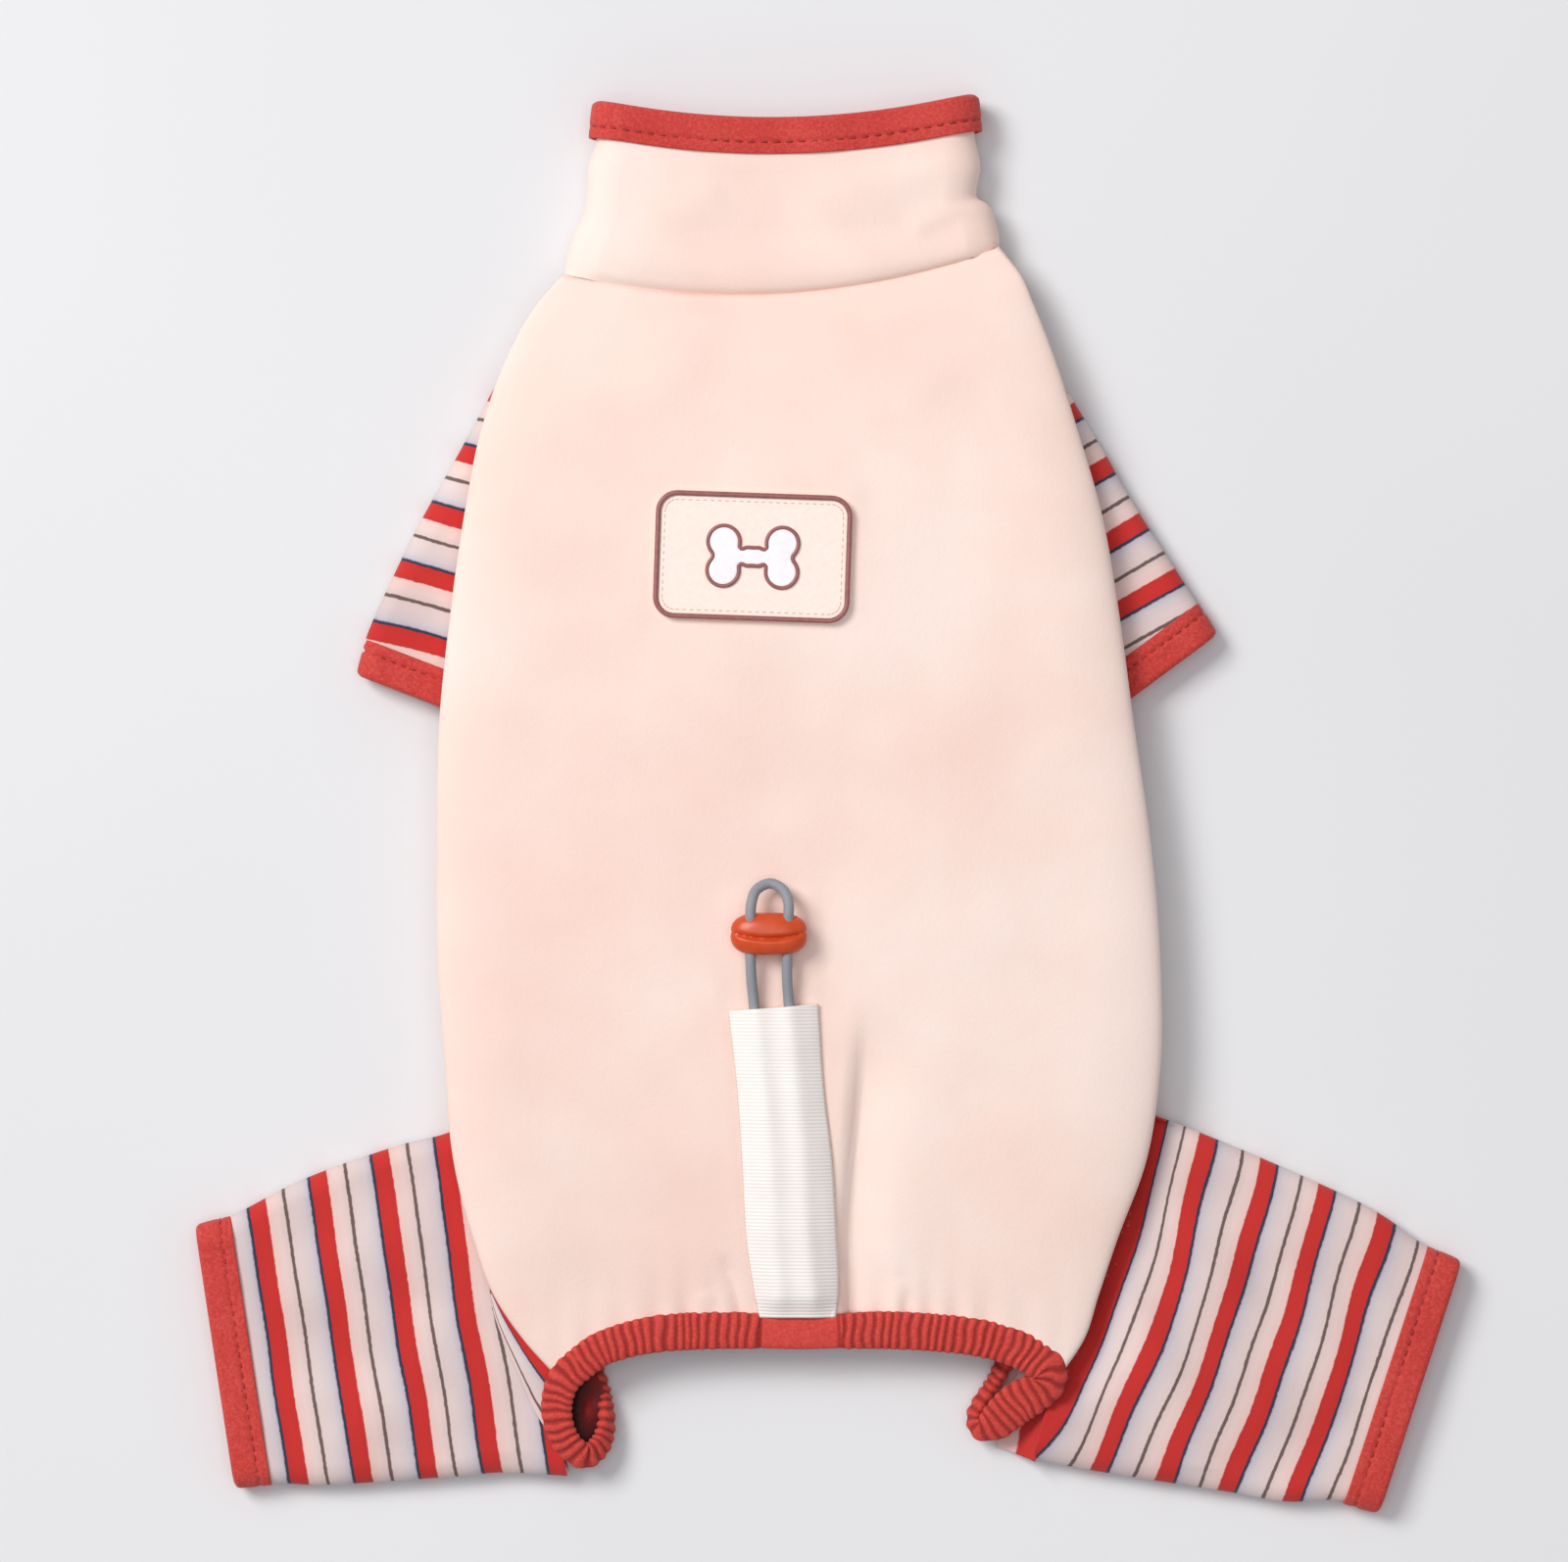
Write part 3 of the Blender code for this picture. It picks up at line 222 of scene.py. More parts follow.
def cloth_places(tree):
    """The two numbers of the cloth's UV map, as sockets."""
    apart = node(tree, "SeparateXYZ", {0: node(tree, "UVMap", uv_map="cloth").outputs["UV"]})
    return apart.outputs["X"], apart.outputs["Y"]


print("coral in linear light:", [round(v, 3) for v in linear("D9443D")])

# %% [markdown]
# The table top is matt studio paper. It only needs a pale grey with a trace of unevenness,
# so that the garment's own shadow is what the eye sees on it.

# %% Floor
table = bpy.data.meshes.new("table_top")
table.from_pydata([(-2, -2, 0), (2, -2, 0), (2, 2, 0), (-2, 2, 0)], [], [(0, 1, 2, 3)])
table.materials.append(grained_finish("studio_paper", 3.0, "E4E4E6", "E8E8E9", Roughness=0.9))
table_top = bpy.data.objects.new("table_top", table)
scene.collection.objects.link(table_top)
print("floor of 4 m by 4 m")

# %% [markdown]
# ## From a grid of points to a piece
# Every piece is a grid: rows along it and columns across it. One function turns a grid into
# a mesh, joins its last column to its first where the piece is a tube, closes its ends where
# asked, writes the cloth's own millimetres into a UV map, and gives it a wall. It also turns
# all faces outwards, by the sign of the volume that they enclose.

# %% Grid to piece
def all_round(grid):
    """A grid with its first column repeated as its last."""
    return np.concatenate([grid, grid[:, :1]], axis=1)


def area_of(grid, around=False):
    """Cloth area of a grid: half the cross product of each cell's two diagonals, summed."""
    if around:
        grid = all_round(grid)
    first = grid[1:, 1:] - grid[:-1, :-1]
    second = grid[1:, :-1] - grid[:-1, 1:]
    return float(np.linalg.norm(np.cross(first, second), axis=-1).sum() / 2)


def grid_cells(rows, columns, around=False, ring=False):
    """Each cell's four corners: their rows, their columns and their numbers in the grid."""
    row, column = np.meshgrid(np.arange(rows if ring else rows - 1),
                              np.arange(columns if around else columns - 1), indexing="ij")
    down = np.stack([row, row + 1, row + 1, row], axis=-1).reshape(-1, 4)
    over = np.stack([column, column, column + 1, column + 1], axis=-1).reshape(-1, 4)
    return down, over, (down % rows) * columns + over % columns


def lay_surface(name, grid, finish, stands_for, around=False, ring=False, caps=False,
                cloth=None, wall=0.0, even=True):
    """Grid of torso millimetres to a finished object that stands for a CAD node."""
    rows, columns = grid.shape[:2]
    down, over, corners = grid_cells(rows, columns, around, ring)
    flat = grid.reshape(-1, 3)
    one, two, three, four = (flat[corners[:, n]] for n in range(4))
    turn = np.cross(three - one, four - two)
    if around or ring:
        outward = np.einsum("ij,ij->", turn, (one + two + three + four) / 4 - flat.mean(axis=0))
    else:
        outward = turn[:, 2].sum()
    if outward < 0:
        down, over, corners = down[:, ::-1], over[:, ::-1], corners[:, ::-1]
    faces = corners.tolist()
    if caps:
        ends = [np.arange(columns), (rows - 1) * columns + np.arange(columns)]
        faces += [end[::way].tolist() for end, way in zip(ends, (-1, 1) if outward < 0 else (1, -1))]
    mesh = bpy.data.meshes.new(name)
    mesh.from_pydata(in_frame(flat).tolist(), [], faces)
    if cloth is not None:
        layer = mesh.uv_layers.new(name="cloth")
        places = np.zeros((len(mesh.loops), 2))
        places[:corners.size] = cloth[down, over].reshape(-1, 2)
        layer.data.foreach_set("uv", places.ravel())
    return finish_piece(name, mesh, finish, stands_for, wall, even=even)


def finish_piece(name, mesh, finish, stands_for, wall=0.0, smooth_levels=0, even=True):
    """Give a mesh its finish, wall and body, and hide the CAD node that it stands for."""
    mesh.shade_smooth()
    mesh.materials.append(finish)
    piece = bpy.data.objects.new(name, mesh)
    scene.collection.objects.link(piece)
    if wall:
        layer = piece.modifiers.new("wall", "SOLIDIFY")
        layer.thickness = wall * 0.001
        layer.offset = 0.0
        layer.use_even_offset = even
    if smooth_levels:
        smooth = piece.modifiers.new("smooth", "SUBSURF")
        smooth.levels = smooth.render_levels = smooth_levels
    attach(piece, "root")
    if stands_for:
        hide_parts(stands_for)
    print(name, "has", len(mesh.polygons), "faces")
    return piece


def lengths_between(points):
    """Distance from the first point along a line of points, to each of them."""
    return np.concatenate([[0.0], np.cumsum(np.linalg.norm(np.diff(points, axis=0), axis=1))])


def read_line(points, at, where):
    """Points at some distances along a line of points whose own distances are known."""
    return np.stack([np.interp(where, at, column) for column in points.T], axis=1)


def unit(vectors):
    """Rows of vectors, each brought to length one."""
    return vectors / np.linalg.norm(vectors, axis=1)[:, None]


def neighbour_chord(loop):
    """For each point of a closed line, the step from the point before it to the one after."""
    return np.roll(loop, -1, axis=0) - np.roll(loop, 1, axis=0)


def resample(points, count):
    """Points at even distances on the smooth curve through a few route points."""
    points = np.asarray(points, float)
    at = lengths_between(points)
    fine = np.stack([read_row(at, points[:, axis], np.linspace(0, at[-1], 40 * len(points)))
                     for axis in range(3)], axis=1)
    along = lengths_between(fine)
    return read_line(fine, along, np.linspace(0, along[-1], count))


def carry(path, radius, spokes):
    """A round profile carried along a path: each ring stands square to the path."""
    ahead = unit(np.gradient(path, axis=0))
    side = unit(np.cross(ahead, (0.0, 0.0, 1.0)))
    over = np.cross(side, ahead)
    angle = 2 * math.pi * np.arange(spokes) / spokes
    ring = np.cos(angle)[None, :, None] * side[:, None] + np.sin(angle)[None, :, None] * over[:, None]
    return path[:, None] + radius * ring


square = np.array([[[0, 0, 0], [10, 0, 0]], [[0, 10, 0], [10, 10, 0]]])
print("a 10 mm square measures", area_of(square), "mm2")

# %% [markdown]
# ## The elastic drawcord
# A grey elastic cord, 2.7 mm thick, runs up one side of the casing, round a loop and down
# the other side. It is one braided tube: its cover is a crossing of fine threads, which is
# drawn here as two slanting waves over the tube's own length and girth. The route repeats
# the CAD's points, so it lies where the solid cord does.

# %% Drawcord
CORD_THICKNESS = 2.7
CORD_ROUTE = (
    # x, y, z
    (-4.90, 21.0, 17.30), (-6.00, 32.0, 19.00), (-6.80, 42.0, 20.20), (-7.20, 50.0, 21.05),
    (-7.95, 60.0, 21.80), (-8.90, 70.0, 22.35), (-9.90, 80.0, 22.70), (-10.90, 90.0, 23.00),
    (-11.50, 95.5, 23.20), (-12.00, 100.5, 24.20), (-12.25, 106.3, 25.10), (-12.30, 112.0, 25.40),
    (-12.25, 116.0, 27.30), (-12.00, 119.8, 27.30), (-10.60, 123.3, 25.40), (-7.30, 124.8, 24.40),
    (-4.10, 123.3, 25.40), (-2.60, 119.8, 27.30), (-2.70, 116.0, 27.30), (-2.90, 112.0, 25.40),
    (-2.95, 106.3, 25.10), (-2.95, 100.5, 24.20), (-2.60, 95.5, 23.20), (-2.20, 90.0, 23.00),
    (-1.20, 80.0, 22.70), (-0.30, 70.0, 22.35), (0.70, 60.0, 21.80), (1.40, 50.0, 21.05),
    (1.80, 42.0, 20.20), (2.60, 32.0, 19.00), (3.70, 21.0, 17.30),
)

# Braided polyester over elastic: matt grey, with fine slanting threads. The braid's threads
# are about 0.25 mm on the real cord and are drawn 0.8 mm apart, so that they show.
THREAD_PITCH = 0.8
braid, tree, shader = new_finish("braided_elastic", Roughness=0.45)
girth_mm, length_mm = cloth_places(tree)
waves = []
for lean in (-0.9, 0.9):
    slant = node(tree, "Math", {0: girth_mm, 1: lean, 2: length_mm}, operation="MULTIPLY_ADD")
    wave = node(tree, "Math", {0: slant.outputs[0], 1: 2 * math.pi / THREAD_PITCH}, operation="MULTIPLY")
    waves.append(node(tree, "Math", {0: wave.outputs[0]}, operation="SINE").outputs[0])
cross = node(tree, "Math", {0: waves[0], 1: waves[1]}, operation="MAXIMUM")
tone = node(tree, "Math", {0: cross.outputs[0], 1: 0.5, 2: 0.5}, operation="MULTIPLY_ADD")
tree.links.new(shade_ramp(tree, tone.outputs[0], ((0.0, "70727B"), (0.6, "8E9097"), (1.0, "A0A2A9"))),
               shader.inputs["Base Color"])
add_relief(tree, shader, cross.outputs[0], 0.5, 0.0001)

cord_line = resample(CORD_ROUTE, 420)
cord_grid = carry(cord_line, CORD_THICKNESS / 2, 18)
girth = np.linspace(0, math.pi * CORD_THICKNESS, 19)
cord_cloth = np.stack(np.broadcast_arrays(girth[None, :], lengths_between(cord_line)[:, None]), axis=-1)
drawcord = lay_surface("drawcord_braid", cord_grid, braid, "drawcord",
                       around=True, caps=True, cloth=cord_cloth)

# %% [markdown]
# ## The cord stopper
# A two-hole stopper of orange-red plastic is pushed onto both strands. It was moulded as a
# rounded bean with a groove pressed round its middle. The bean is a ball whose three axes
# differ and whose sides are squared off a little, and the groove is a dip in its radius
# along a bowed line.

# %% Stopper
STOPPER_CENTRE = np.array([-7.6, 112.0, 25.15])
STOPPER_HALF = np.array([9.75, 5.4, 4.3])
HOLE_ROOM = 0.45

# Acetal or nylon, moulded: a satin gloss with soft highlights and an even colour.
plastic = grained_finish("moulded_plastic", 320.0, "CD471D", "D75225", detail=3.0,
                         relief=(0.08, 0.0002), Roughness=0.34, IOR=1.48)


def squared(wave, power):
    """A sine or cosine pushed towards its ends: sign kept, size to a power below one."""
    return np.sign(wave) * np.abs(wave) ** power


pole = np.radians(np.linspace(2.0, 178.0, 72))[:, None]
turn = 2 * math.pi * np.arange(112)[None, :] / 112
bean = np.stack(np.broadcast_arrays(
    STOPPER_HALF[0] * squared(np.sin(pole), 0.62) * squared(np.cos(turn), 0.9),
    STOPPER_HALF[1] * squared(np.cos(pole), 0.8),
    STOPPER_HALF[2] * squared(np.sin(pole), 0.7) * squared(np.sin(turn), 0.85)), axis=-1)
across = bean[..., 0] / STOPPER_HALF[0]
groove_y = 0.5 - 1.6 * (1 - across**2)
dip = np.exp(-((bean[..., 1] - groove_y) / 0.55) ** 2)
bean[..., 0] *= 1 - 0.03 * dip
bean[..., 2] *= 1 - 0.3 * dip * ease((1 - np.abs(across)) / 0.25)
stopper = lay_surface("stopper_bean", bean + STOPPER_CENTRE, plastic, "cord_stopper",
                      around=True, caps=True)

# %% [markdown]
# Two tubes that follow the cord's strands, a little wider than the cord, cut the stopper's
# holes.

# %% Stopper holes
halfway = len(cord_line) // 2
for side, strand in (("left", cord_line[:halfway]), ("right", cord_line[halfway:])):
    near = strand[np.abs(strand[:, 1] - STOPPER_CENTRE[1]) < 2.2 * STOPPER_HALF[1]]
    tube = carry(near[::3], CORD_THICKNESS / 2 + HOLE_ROOM, 24)
    rows, columns = tube.shape[:2]
    faces = grid_cells(rows, columns, around=True)[2][:, [0, 3, 2, 1]].tolist()
    faces += [list(range(columns))[::-1], list(range((rows - 1) * columns, rows * columns))]
    drill = bpy.data.meshes.new("drill_" + side)
    drill.from_pydata(in_frame(tube.reshape(-1, 3)).tolist(), [], faces)
    drill_piece = bpy.data.objects.new("drill_" + side, drill)
    scene.collection.objects.link(drill_piece)
    cut = stopper.modifiers.new("hole", "BOOLEAN")
    cut.operation = "DIFFERENCE"
    cut.solver = "EXACT"
    cut.object = drill_piece
    shaped = bpy.data.meshes.new_from_object(stopper.evaluated_get(bpy.context.evaluated_depsgraph_get()))
    stopper.modifiers.clear()
    stopper.data = shaped
    bpy.data.objects.remove(drill_piece)
stopper.data.set_sharp_from_angle(angle=math.radians(40))
print("stopper with its holes has", len(stopper.data.polygons), "faces")

# %% [markdown]
# ## Brushed cotton jersey for the torso
# The torso and collar are a fine, slightly stretchy cotton jersey in pale peach, brushed
# soft. The eye gets a matt surface with a faint glow at grazing angles, a very fine knit
# and a little cloudiness where the nap lies in different directions. The knit is about
# 0.5 mm on the real cloth and is drawn at 0.9 mm.

# %% Shell jersey
jersey, tree, shader = new_finish("brushed_cotton_jersey", Roughness=0.88, Sheen_Weight=0.12,
                                  Sheen_Roughness=0.55)
nap = noise(tree, 17.0, 3.0, Roughness=0.55)
tree.links.new(shade_ramp(tree, nap, ((0.32, "F8D7CA"), (0.5, "FADED2"), (0.66, "FBE5DB"))),
               shader.inputs["Base Color"])
loops = node(tree, "TexVoronoi", {"Vector": node(tree, "TexCoord").outputs["Object"], "Scale": 1100.0})
fuzz = noise(tree, 420.0, 4.0, Roughness=0.65)
pile = node(tree, "Math", {0: loops.outputs["Distance"], 1: 0.5, 2: fuzz}, operation="MULTIPLY_ADD")
add_relief(tree, shader, pile.outputs[0], 0.16, 0.0004)
print("shell jersey ready")

# %% [markdown]
# ## The back panel
# The back is one jersey panel that rolls over both sides and tucks under to the side seams.
# Across the body it is a level top with two rounded shoulders, and a table gives its outline
# and its height along the body. On top of that come the marks of soft cloth: a long valley
# beside the casing, small tucks where the elastic gathers the rear hem, and slow waves.
# A cloth simulation would blur the measured outline, so the folds are laid in by formula.
# The outline's table gives shares of the body's length, of half its width and of the rise
# from seam to top. The folds are in mm.

# %% Torso table
BODY_WIDTH, BODY_LENGTH, BODY_WALL = 185.0, 284.0, 1.4
SEAM_Z, BODY_TOP_Z = 10.4, 19.8
SIDE_TUCK, EDGE_ROLL, HEM_RISE, NECK_SAG = 7.0, 18.0, 15.0, 8.3
NECK_WIDTH, EDGE_INSET, HEM_SHARE = 110.8, 0.8, 0.12
BODY_SECTIONS = np.array((
    # along, left, right, top
    (-0.01, 0.645, 0.700, 0.22), (0.03, 0.758, 0.786, 0.40), (0.07, 0.841, 0.827, 0.57),
    (0.12, 0.897, 0.878, 0.74), (0.19, 0.951, 0.957, 0.88), (0.27, 0.973, 0.995, 0.96),
    (0.37, 0.995, 0.996, 1.00), (0.48, 0.997, 0.968, 1.00), (0.58, 0.991, 0.924, 1.00),
    (0.68, 0.960, 0.883, 0.98), (0.77, 0.921, 0.835, 0.93), (0.85, 0.871, 0.764, 0.83),
    (0.91, 0.805, 0.705, 0.68), (0.96, 0.719, 0.646, 0.45), (0.986, 0.649, 0.611, 0.28),
    (1.01, 0.590, 0.551, 0.21),
))
NECK_LEFT_Y, NECK_RIGHT_Y = 0.986 * BODY_LENGTH, 1.010 * BODY_LENGTH
PATCH_CENTRE = np.array([-11.69, 208.09])


def side_x(side, y):
    """Torso outline: x of the left (-1) or right (1) fold at y."""
    column = BODY_SECTIONS[:, 1 if side < 0 else 2]
    return side * BODY_WIDTH / 2 * read_row(BODY_SECTIONS[:, 0] * BODY_LENGTH, column, y)


def top_z(y):
    """Height of the middle of the back's wall along the torso."""
    share = read_row(BODY_SECTIONS[:, 0] * BODY_LENGTH, BODY_SECTIONS[:, 3], y)
    return SEAM_Z + share * (BODY_TOP_Z - SEAM_Z)


print("torso of", BODY_WIDTH, "by", BODY_LENGTH, "mm")

# %% Folds and the back's plain sheet
BACK_FOLDS = (
    # x from, y from, x to, y to, height, width on its left, width on its right
    (17.2, 97.0, 10.6, 12.0, -3.0, 1.7, 9.0),
    (-20.0, 32.0, -13.6, 14.5, -1.1, 2.0, 1.4),
    (-24.0, 22.0, -21.0, 13.5, 0.5, 2.2, 1.6),
    (27.0, 25.0, 24.5, 14.0, 0.5, 2.0, 1.8),
    (-44.0, 240.0, -22.0, 268.0, 0.5, 9.0, 7.0),
    (38.0, 246.0, 22.0, 268.0, 0.5, 9.0, 7.0),
)


def fold_height(x, y, folds):
    """Ridges and valleys summed: a bell across each line, with its own width on each side."""
    total = np.zeros(np.broadcast(x, y).shape)
    for x0, y0, x1, y1, height, left_width, right_width in folds:
        length = math.hypot(x1 - x0, y1 - y0)
        along = ((x - x0) * (x1 - x0) + (y - y0) * (y1 - y0)) / length**2
        off = ((x - x0) * (y0 - y1) + (y - y0) * (x1 - x0)) / length
        width = np.where(off * math.copysign(1, y1 - y0) < 0, right_width, left_width)
        fade = ease(along / 0.35) * ease((1.15 - along) / 0.2)
        total = total + height * fade * np.exp(-(off / width) ** 2)
    return total


def back_sheet(rows, roll_steps, flat_steps):
    """The back panel's middle layer: share 0 to 1 along the body, left seam to right seam."""
    near_hem = np.linspace(0, HEM_SHARE, rows // 4, endpoint=False)
    share = np.concatenate([near_hem, np.linspace(HEM_SHARE, 1, rows - rows // 4)])[:, None]
    y_left, y_right = share * NECK_LEFT_Y, share * NECK_RIGHT_Y
    left, right = side_x(-1, y_left) + EDGE_INSET, side_x(1, y_right) - EDGE_INSET
    top = top_z((y_left + y_right) / 2)
    middle, half = (top + SEAM_Z) / 2, (top - SEAM_Z) / 2
    under = np.radians(np.linspace(0, 90, roll_steps))[None, :]
    over = np.radians(np.linspace(0, 90, 2 * roll_steps))[None, 1:]
    inset = np.concatenate([SIDE_TUCK * (1 - np.sin(under)), EDGE_ROLL * (1 - np.cos(over))], axis=1)
    height = np.concatenate([middle - half * np.cos(under), middle + half * np.sin(over)], axis=1)
    flat = np.linspace(0, 1, flat_steps)[None, 1:-1]
    x = np.concatenate([left + inset, left + EDGE_ROLL + flat * (right - left - 2 * EDGE_ROLL),
                        (right - inset)[:, ::-1]], axis=1)
    level = np.broadcast_to(top, (len(share), flat.shape[1]))
    z = np.concatenate([height, level, height[:, ::-1]], axis=1)
    crown = np.concatenate([0 * under, np.sin(over), np.ones_like(flat), np.sin(over)[:, ::-1],
                            0 * under], axis=1)
    across = np.clip((2 * x - left - right) / (right - left), -1, 1)
    rise = HEM_RISE * (1 - np.abs(across) ** 5)
    y = y_left + (y_right - y_left) * (across + 1) / 2
    y = y + (1 - share) * rise - share**6 * NECK_SAG * (1 - across**2) - 0.45 * share**30
    return share, across, crown, x, y, z


def clear_of_trims(x, y):
    """1 on open cloth, easing to 0 under the patch, the casing and the stopper."""
    patch = ease((30.0 - np.abs(x - PATCH_CENTRE[0])) / 6) * ease((21.5 - np.abs(y - PATCH_CENTRE[1])) / 6)
    tape = ease((12.8 - np.abs(x + 6.5 - (93 - y) * 0.078)) / 2.0) * ease((94 - y) / 3)
    loop = ease((14.0 - np.abs(x + 7.3)) / 4) * ease((17 - np.abs(y - 108)) / 5)
    return (1 - patch) * (1 - tape) * (1 - loop)


print("back folds:", len(BACK_FOLDS))

# %% [markdown]
# The sheet's cloth marks are added where no trim lies on it. The gathers are waves along the
# hem that die out within about 20 mm, and the cloth dips by 1 mm into the neck seam.

# %% Back panel
share, across, crown, x, y, z = back_sheet(190, 9, 92)
hem_distance = share * BODY_LENGTH
gather = np.exp(-hem_distance / 6.5) * np.sin(2 * math.pi * x / 7.6 + 2.2 * ripple(x, y * 0, 40.0, 5))
beside_tape = np.abs(x + 0.5) > 11.0
gather = gather * (0.42 + 0.2 * ripple(x, y * 0, 23.0, 6)) * beside_tape
slow = 0.34 * ripple(x, y, 62.0, 11) + 0.12 * ripple(x, y, 27.0, 12)
neck_dip = -1.0 * ease((share - 0.968) / 0.032)
lift = crown * (clear_of_trims(x, y) * (fold_height(x, y, BACK_FOLDS) + slow + gather) + neck_dip)
back_grid = np.stack([x, y, z + lift], axis=-1)
back = lay_surface("back_jersey", back_grid, jersey, "back_panel", wall=BODY_WALL)

# %% [markdown]
# ## The belly panel
# The belly is a shorter panel that lies on the table and rises to the side seams. Each
# sleeve comes out through a slit: inside it the panel lies flat against the sleeve's lower
# layer, and outside it a tongue of the panel passes over the sleeve. Three small grids that
# share their edge points make the cage, and two levels of subdivision round it to cloth.

# %% Limb table
LIMBS = {
    # length, width: mm of the limb and of its cuff; heading: degrees that the cuff points in;
    # reach, drift: shares of them by which the cuff is moved out and aside; lead, trail: the
    # root's two ends, as shares of half the body's width and of its length; rows: chords on
    # the way, each end as shares of length and width from the root's middle; stripe_turn:
    # degrees that the stripes turn from the cuff; first: mm from the cuff's edge to the first
    # red; last: mm from it past which the stripes stop; order: 1 where the navy line is on the
    # cuff's side of the red; lean: mm that the stripes are pulled towards the cuff at the
    # root's two ends; bow: the same in the limb's middle; full: mm that the cloth bulges past
    # the cuff's two corners; rise: mm that its front corner stands out at the root
    "sleeve_left": dict(
        side=-1, length=56.7, width=46.0, heading=-111.0, reach=1.00, drift=0.074,
        lead=(-0.819, 0.887), trail=(-0.635, 0.669),
        rows=((-0.12, 0.500, 0.58, -0.430), (0.44, 0.592, 0.70, -0.422)),
        stripe_turn=6.5, first=16.9, last=200.0, order=-1, wave=0.25, seed=21,
        lean=(0.0, 0.0), bow=0.0, full=(2.1, 0.0), rise=1.4),
    "sleeve_right": dict(
        side=1, length=56.7, width=46.0, heading=-53.4, reach=0.95, drift=-0.102,
        lead=(0.730, 0.880), trail=(0.557, 0.669),
        rows=((0.01, 0.512, 0.52, -0.570), (0.32, 0.471, 0.66, -0.585)),
        stripe_turn=-7.0, first=18.9, last=200.0, order=1, wave=0.25, seed=22,
        lean=(0.0, 0.0), bow=0.0, full=(1.6, 0.0), rise=1.2),
    "hind_leg_left": dict(
        side=-1, length=90.9, width=66.3, heading=-171.4, reach=0.886, drift=-0.039,
        lead=(-0.878, 0.224), trail=(-0.635, -0.095),
        rows=((0.18, 0.675, 0.15, -0.650), (0.35, 0.654, 0.32, -0.636), (0.68, 0.570, 0.74, -0.590)),
        stripe_turn=0.0, first=14.8, last=200.0, order=1, wave=0.25, seed=23,
        lean=(0.0, 0.0), bow=0.6, full=(2.0, 1.3), rise=0.9),
    "hind_leg_right": dict(
        side=1, length=90.9, width=66.3, heading=-18.1, reach=1.00, drift=0.045,
        lead=(0.905, 0.229), trail=(0.643, -0.079),
        rows=((0.17, 0.715, 0.20, -0.655), (0.50, 0.677, 0.56, -0.575), (0.75, 0.628, 0.76, -0.530)),
        stripe_turn=0.0, first=20.5, last=90.5, order=1, wave=0.5, seed=24,
        lean=(8.5, -2.8), bow=4.2, full=(1.7, 0.9), rise=2.6),
}
LIMB_WALL, LIMB_HEIGHT, CUFF_HEIGHT = 1.2, 7.4, 9.4
BINDING_WIDTH, BINDING_REACH, BINDING_LAYER = 9.5, 1.0, 0.7


def turned(vector, degrees):
    """A flat vector turned anticlockwise."""
    cosine, sine = math.cos(math.radians(degrees)), math.sin(math.radians(degrees))
    x, y = vector
    return np.array([x * cosine - y * sine, x * sine + y * cosine])


def limb_root(limb):
    """The two ends of the line on which a limb leaves the torso."""
    size = np.array([BODY_WIDTH / 2, BODY_LENGTH])
    return np.array(limb["lead"]) * size, np.array(limb["trail"]) * size


def limb_opening(limb):
    """Both ends of the cuff's opening edge, and the direction that the cuff points in."""
    lead, trail = limb_root(limb)
    axis = turned((1.0, 0.0), limb["heading"])
    across = turned(axis, 90.0 * limb["side"])
    centre = (lead + trail) / 2 + axis * limb["length"] * limb["reach"] \
        + across * limb["width"] * limb["drift"]
    return centre + across * limb["width"] / 2, centre - across * limb["width"] / 2, axis


def cuff_of(name):
    """A limb's name to its cuff's."""
    return name.replace("sleeve", "sleeve_cuff").replace("hind_leg", "hind_cuff")


for limb_name, limb in LIMBS.items():
    print(limb_name, "opens at", limb_opening(limb)[0].round(1), limb_opening(limb)[1].round(1))

# %% Belly edges
BELLY_HEM_Y, BELLY_RAMP, SEAM_GAP, SLIT_GAP = 37.02, 14.0, 0.39, 3.0
PAST_LEG, PAST_LEG_NEXT, PAST_SLEEVE, FRONT_ROWS = 4.2, 6.3, 4.2, 3
row_share = np.linspace(0, 1, 60)
TUCK_LEFT = (row_share * NECK_LEFT_Y, side_x(-1, row_share * NECK_LEFT_Y) + SIDE_TUCK)
TUCK_RIGHT = (row_share * NECK_RIGHT_Y, side_x(1, row_share * NECK_RIGHT_Y) - SIDE_TUCK)


def seam_edge(side, y):
    """x of the belly's edge, just inside the back's tucked edge."""
    line = TUCK_LEFT if side < 0 else TUCK_RIGHT
    return np.interp(y, *line) - side * 2 * FIT


def root_x(limb, y):
    """x on the line of a limb's root at y, a seam's gap inside it."""
    lead, trail = limb_root(limb)
    return lead[0] + (y - lead[1]) / (trail[1] - lead[1]) * (trail[0] - lead[0]) - limb["side"] * SEAM_GAP


def neck_line(x):
    """y of the neck seam at x: a shallow sag between the two shoulder corners."""
    left = float(side_x(-1, NECK_LEFT_Y))
    part = (x - left) / NECK_WIDTH
    sag = NECK_SAG * (1 - np.clip(2 * part - 1, -1, 1) ** 2)
    return NECK_LEFT_Y + part * (NECK_RIGHT_Y - NECK_LEFT_Y) - sag


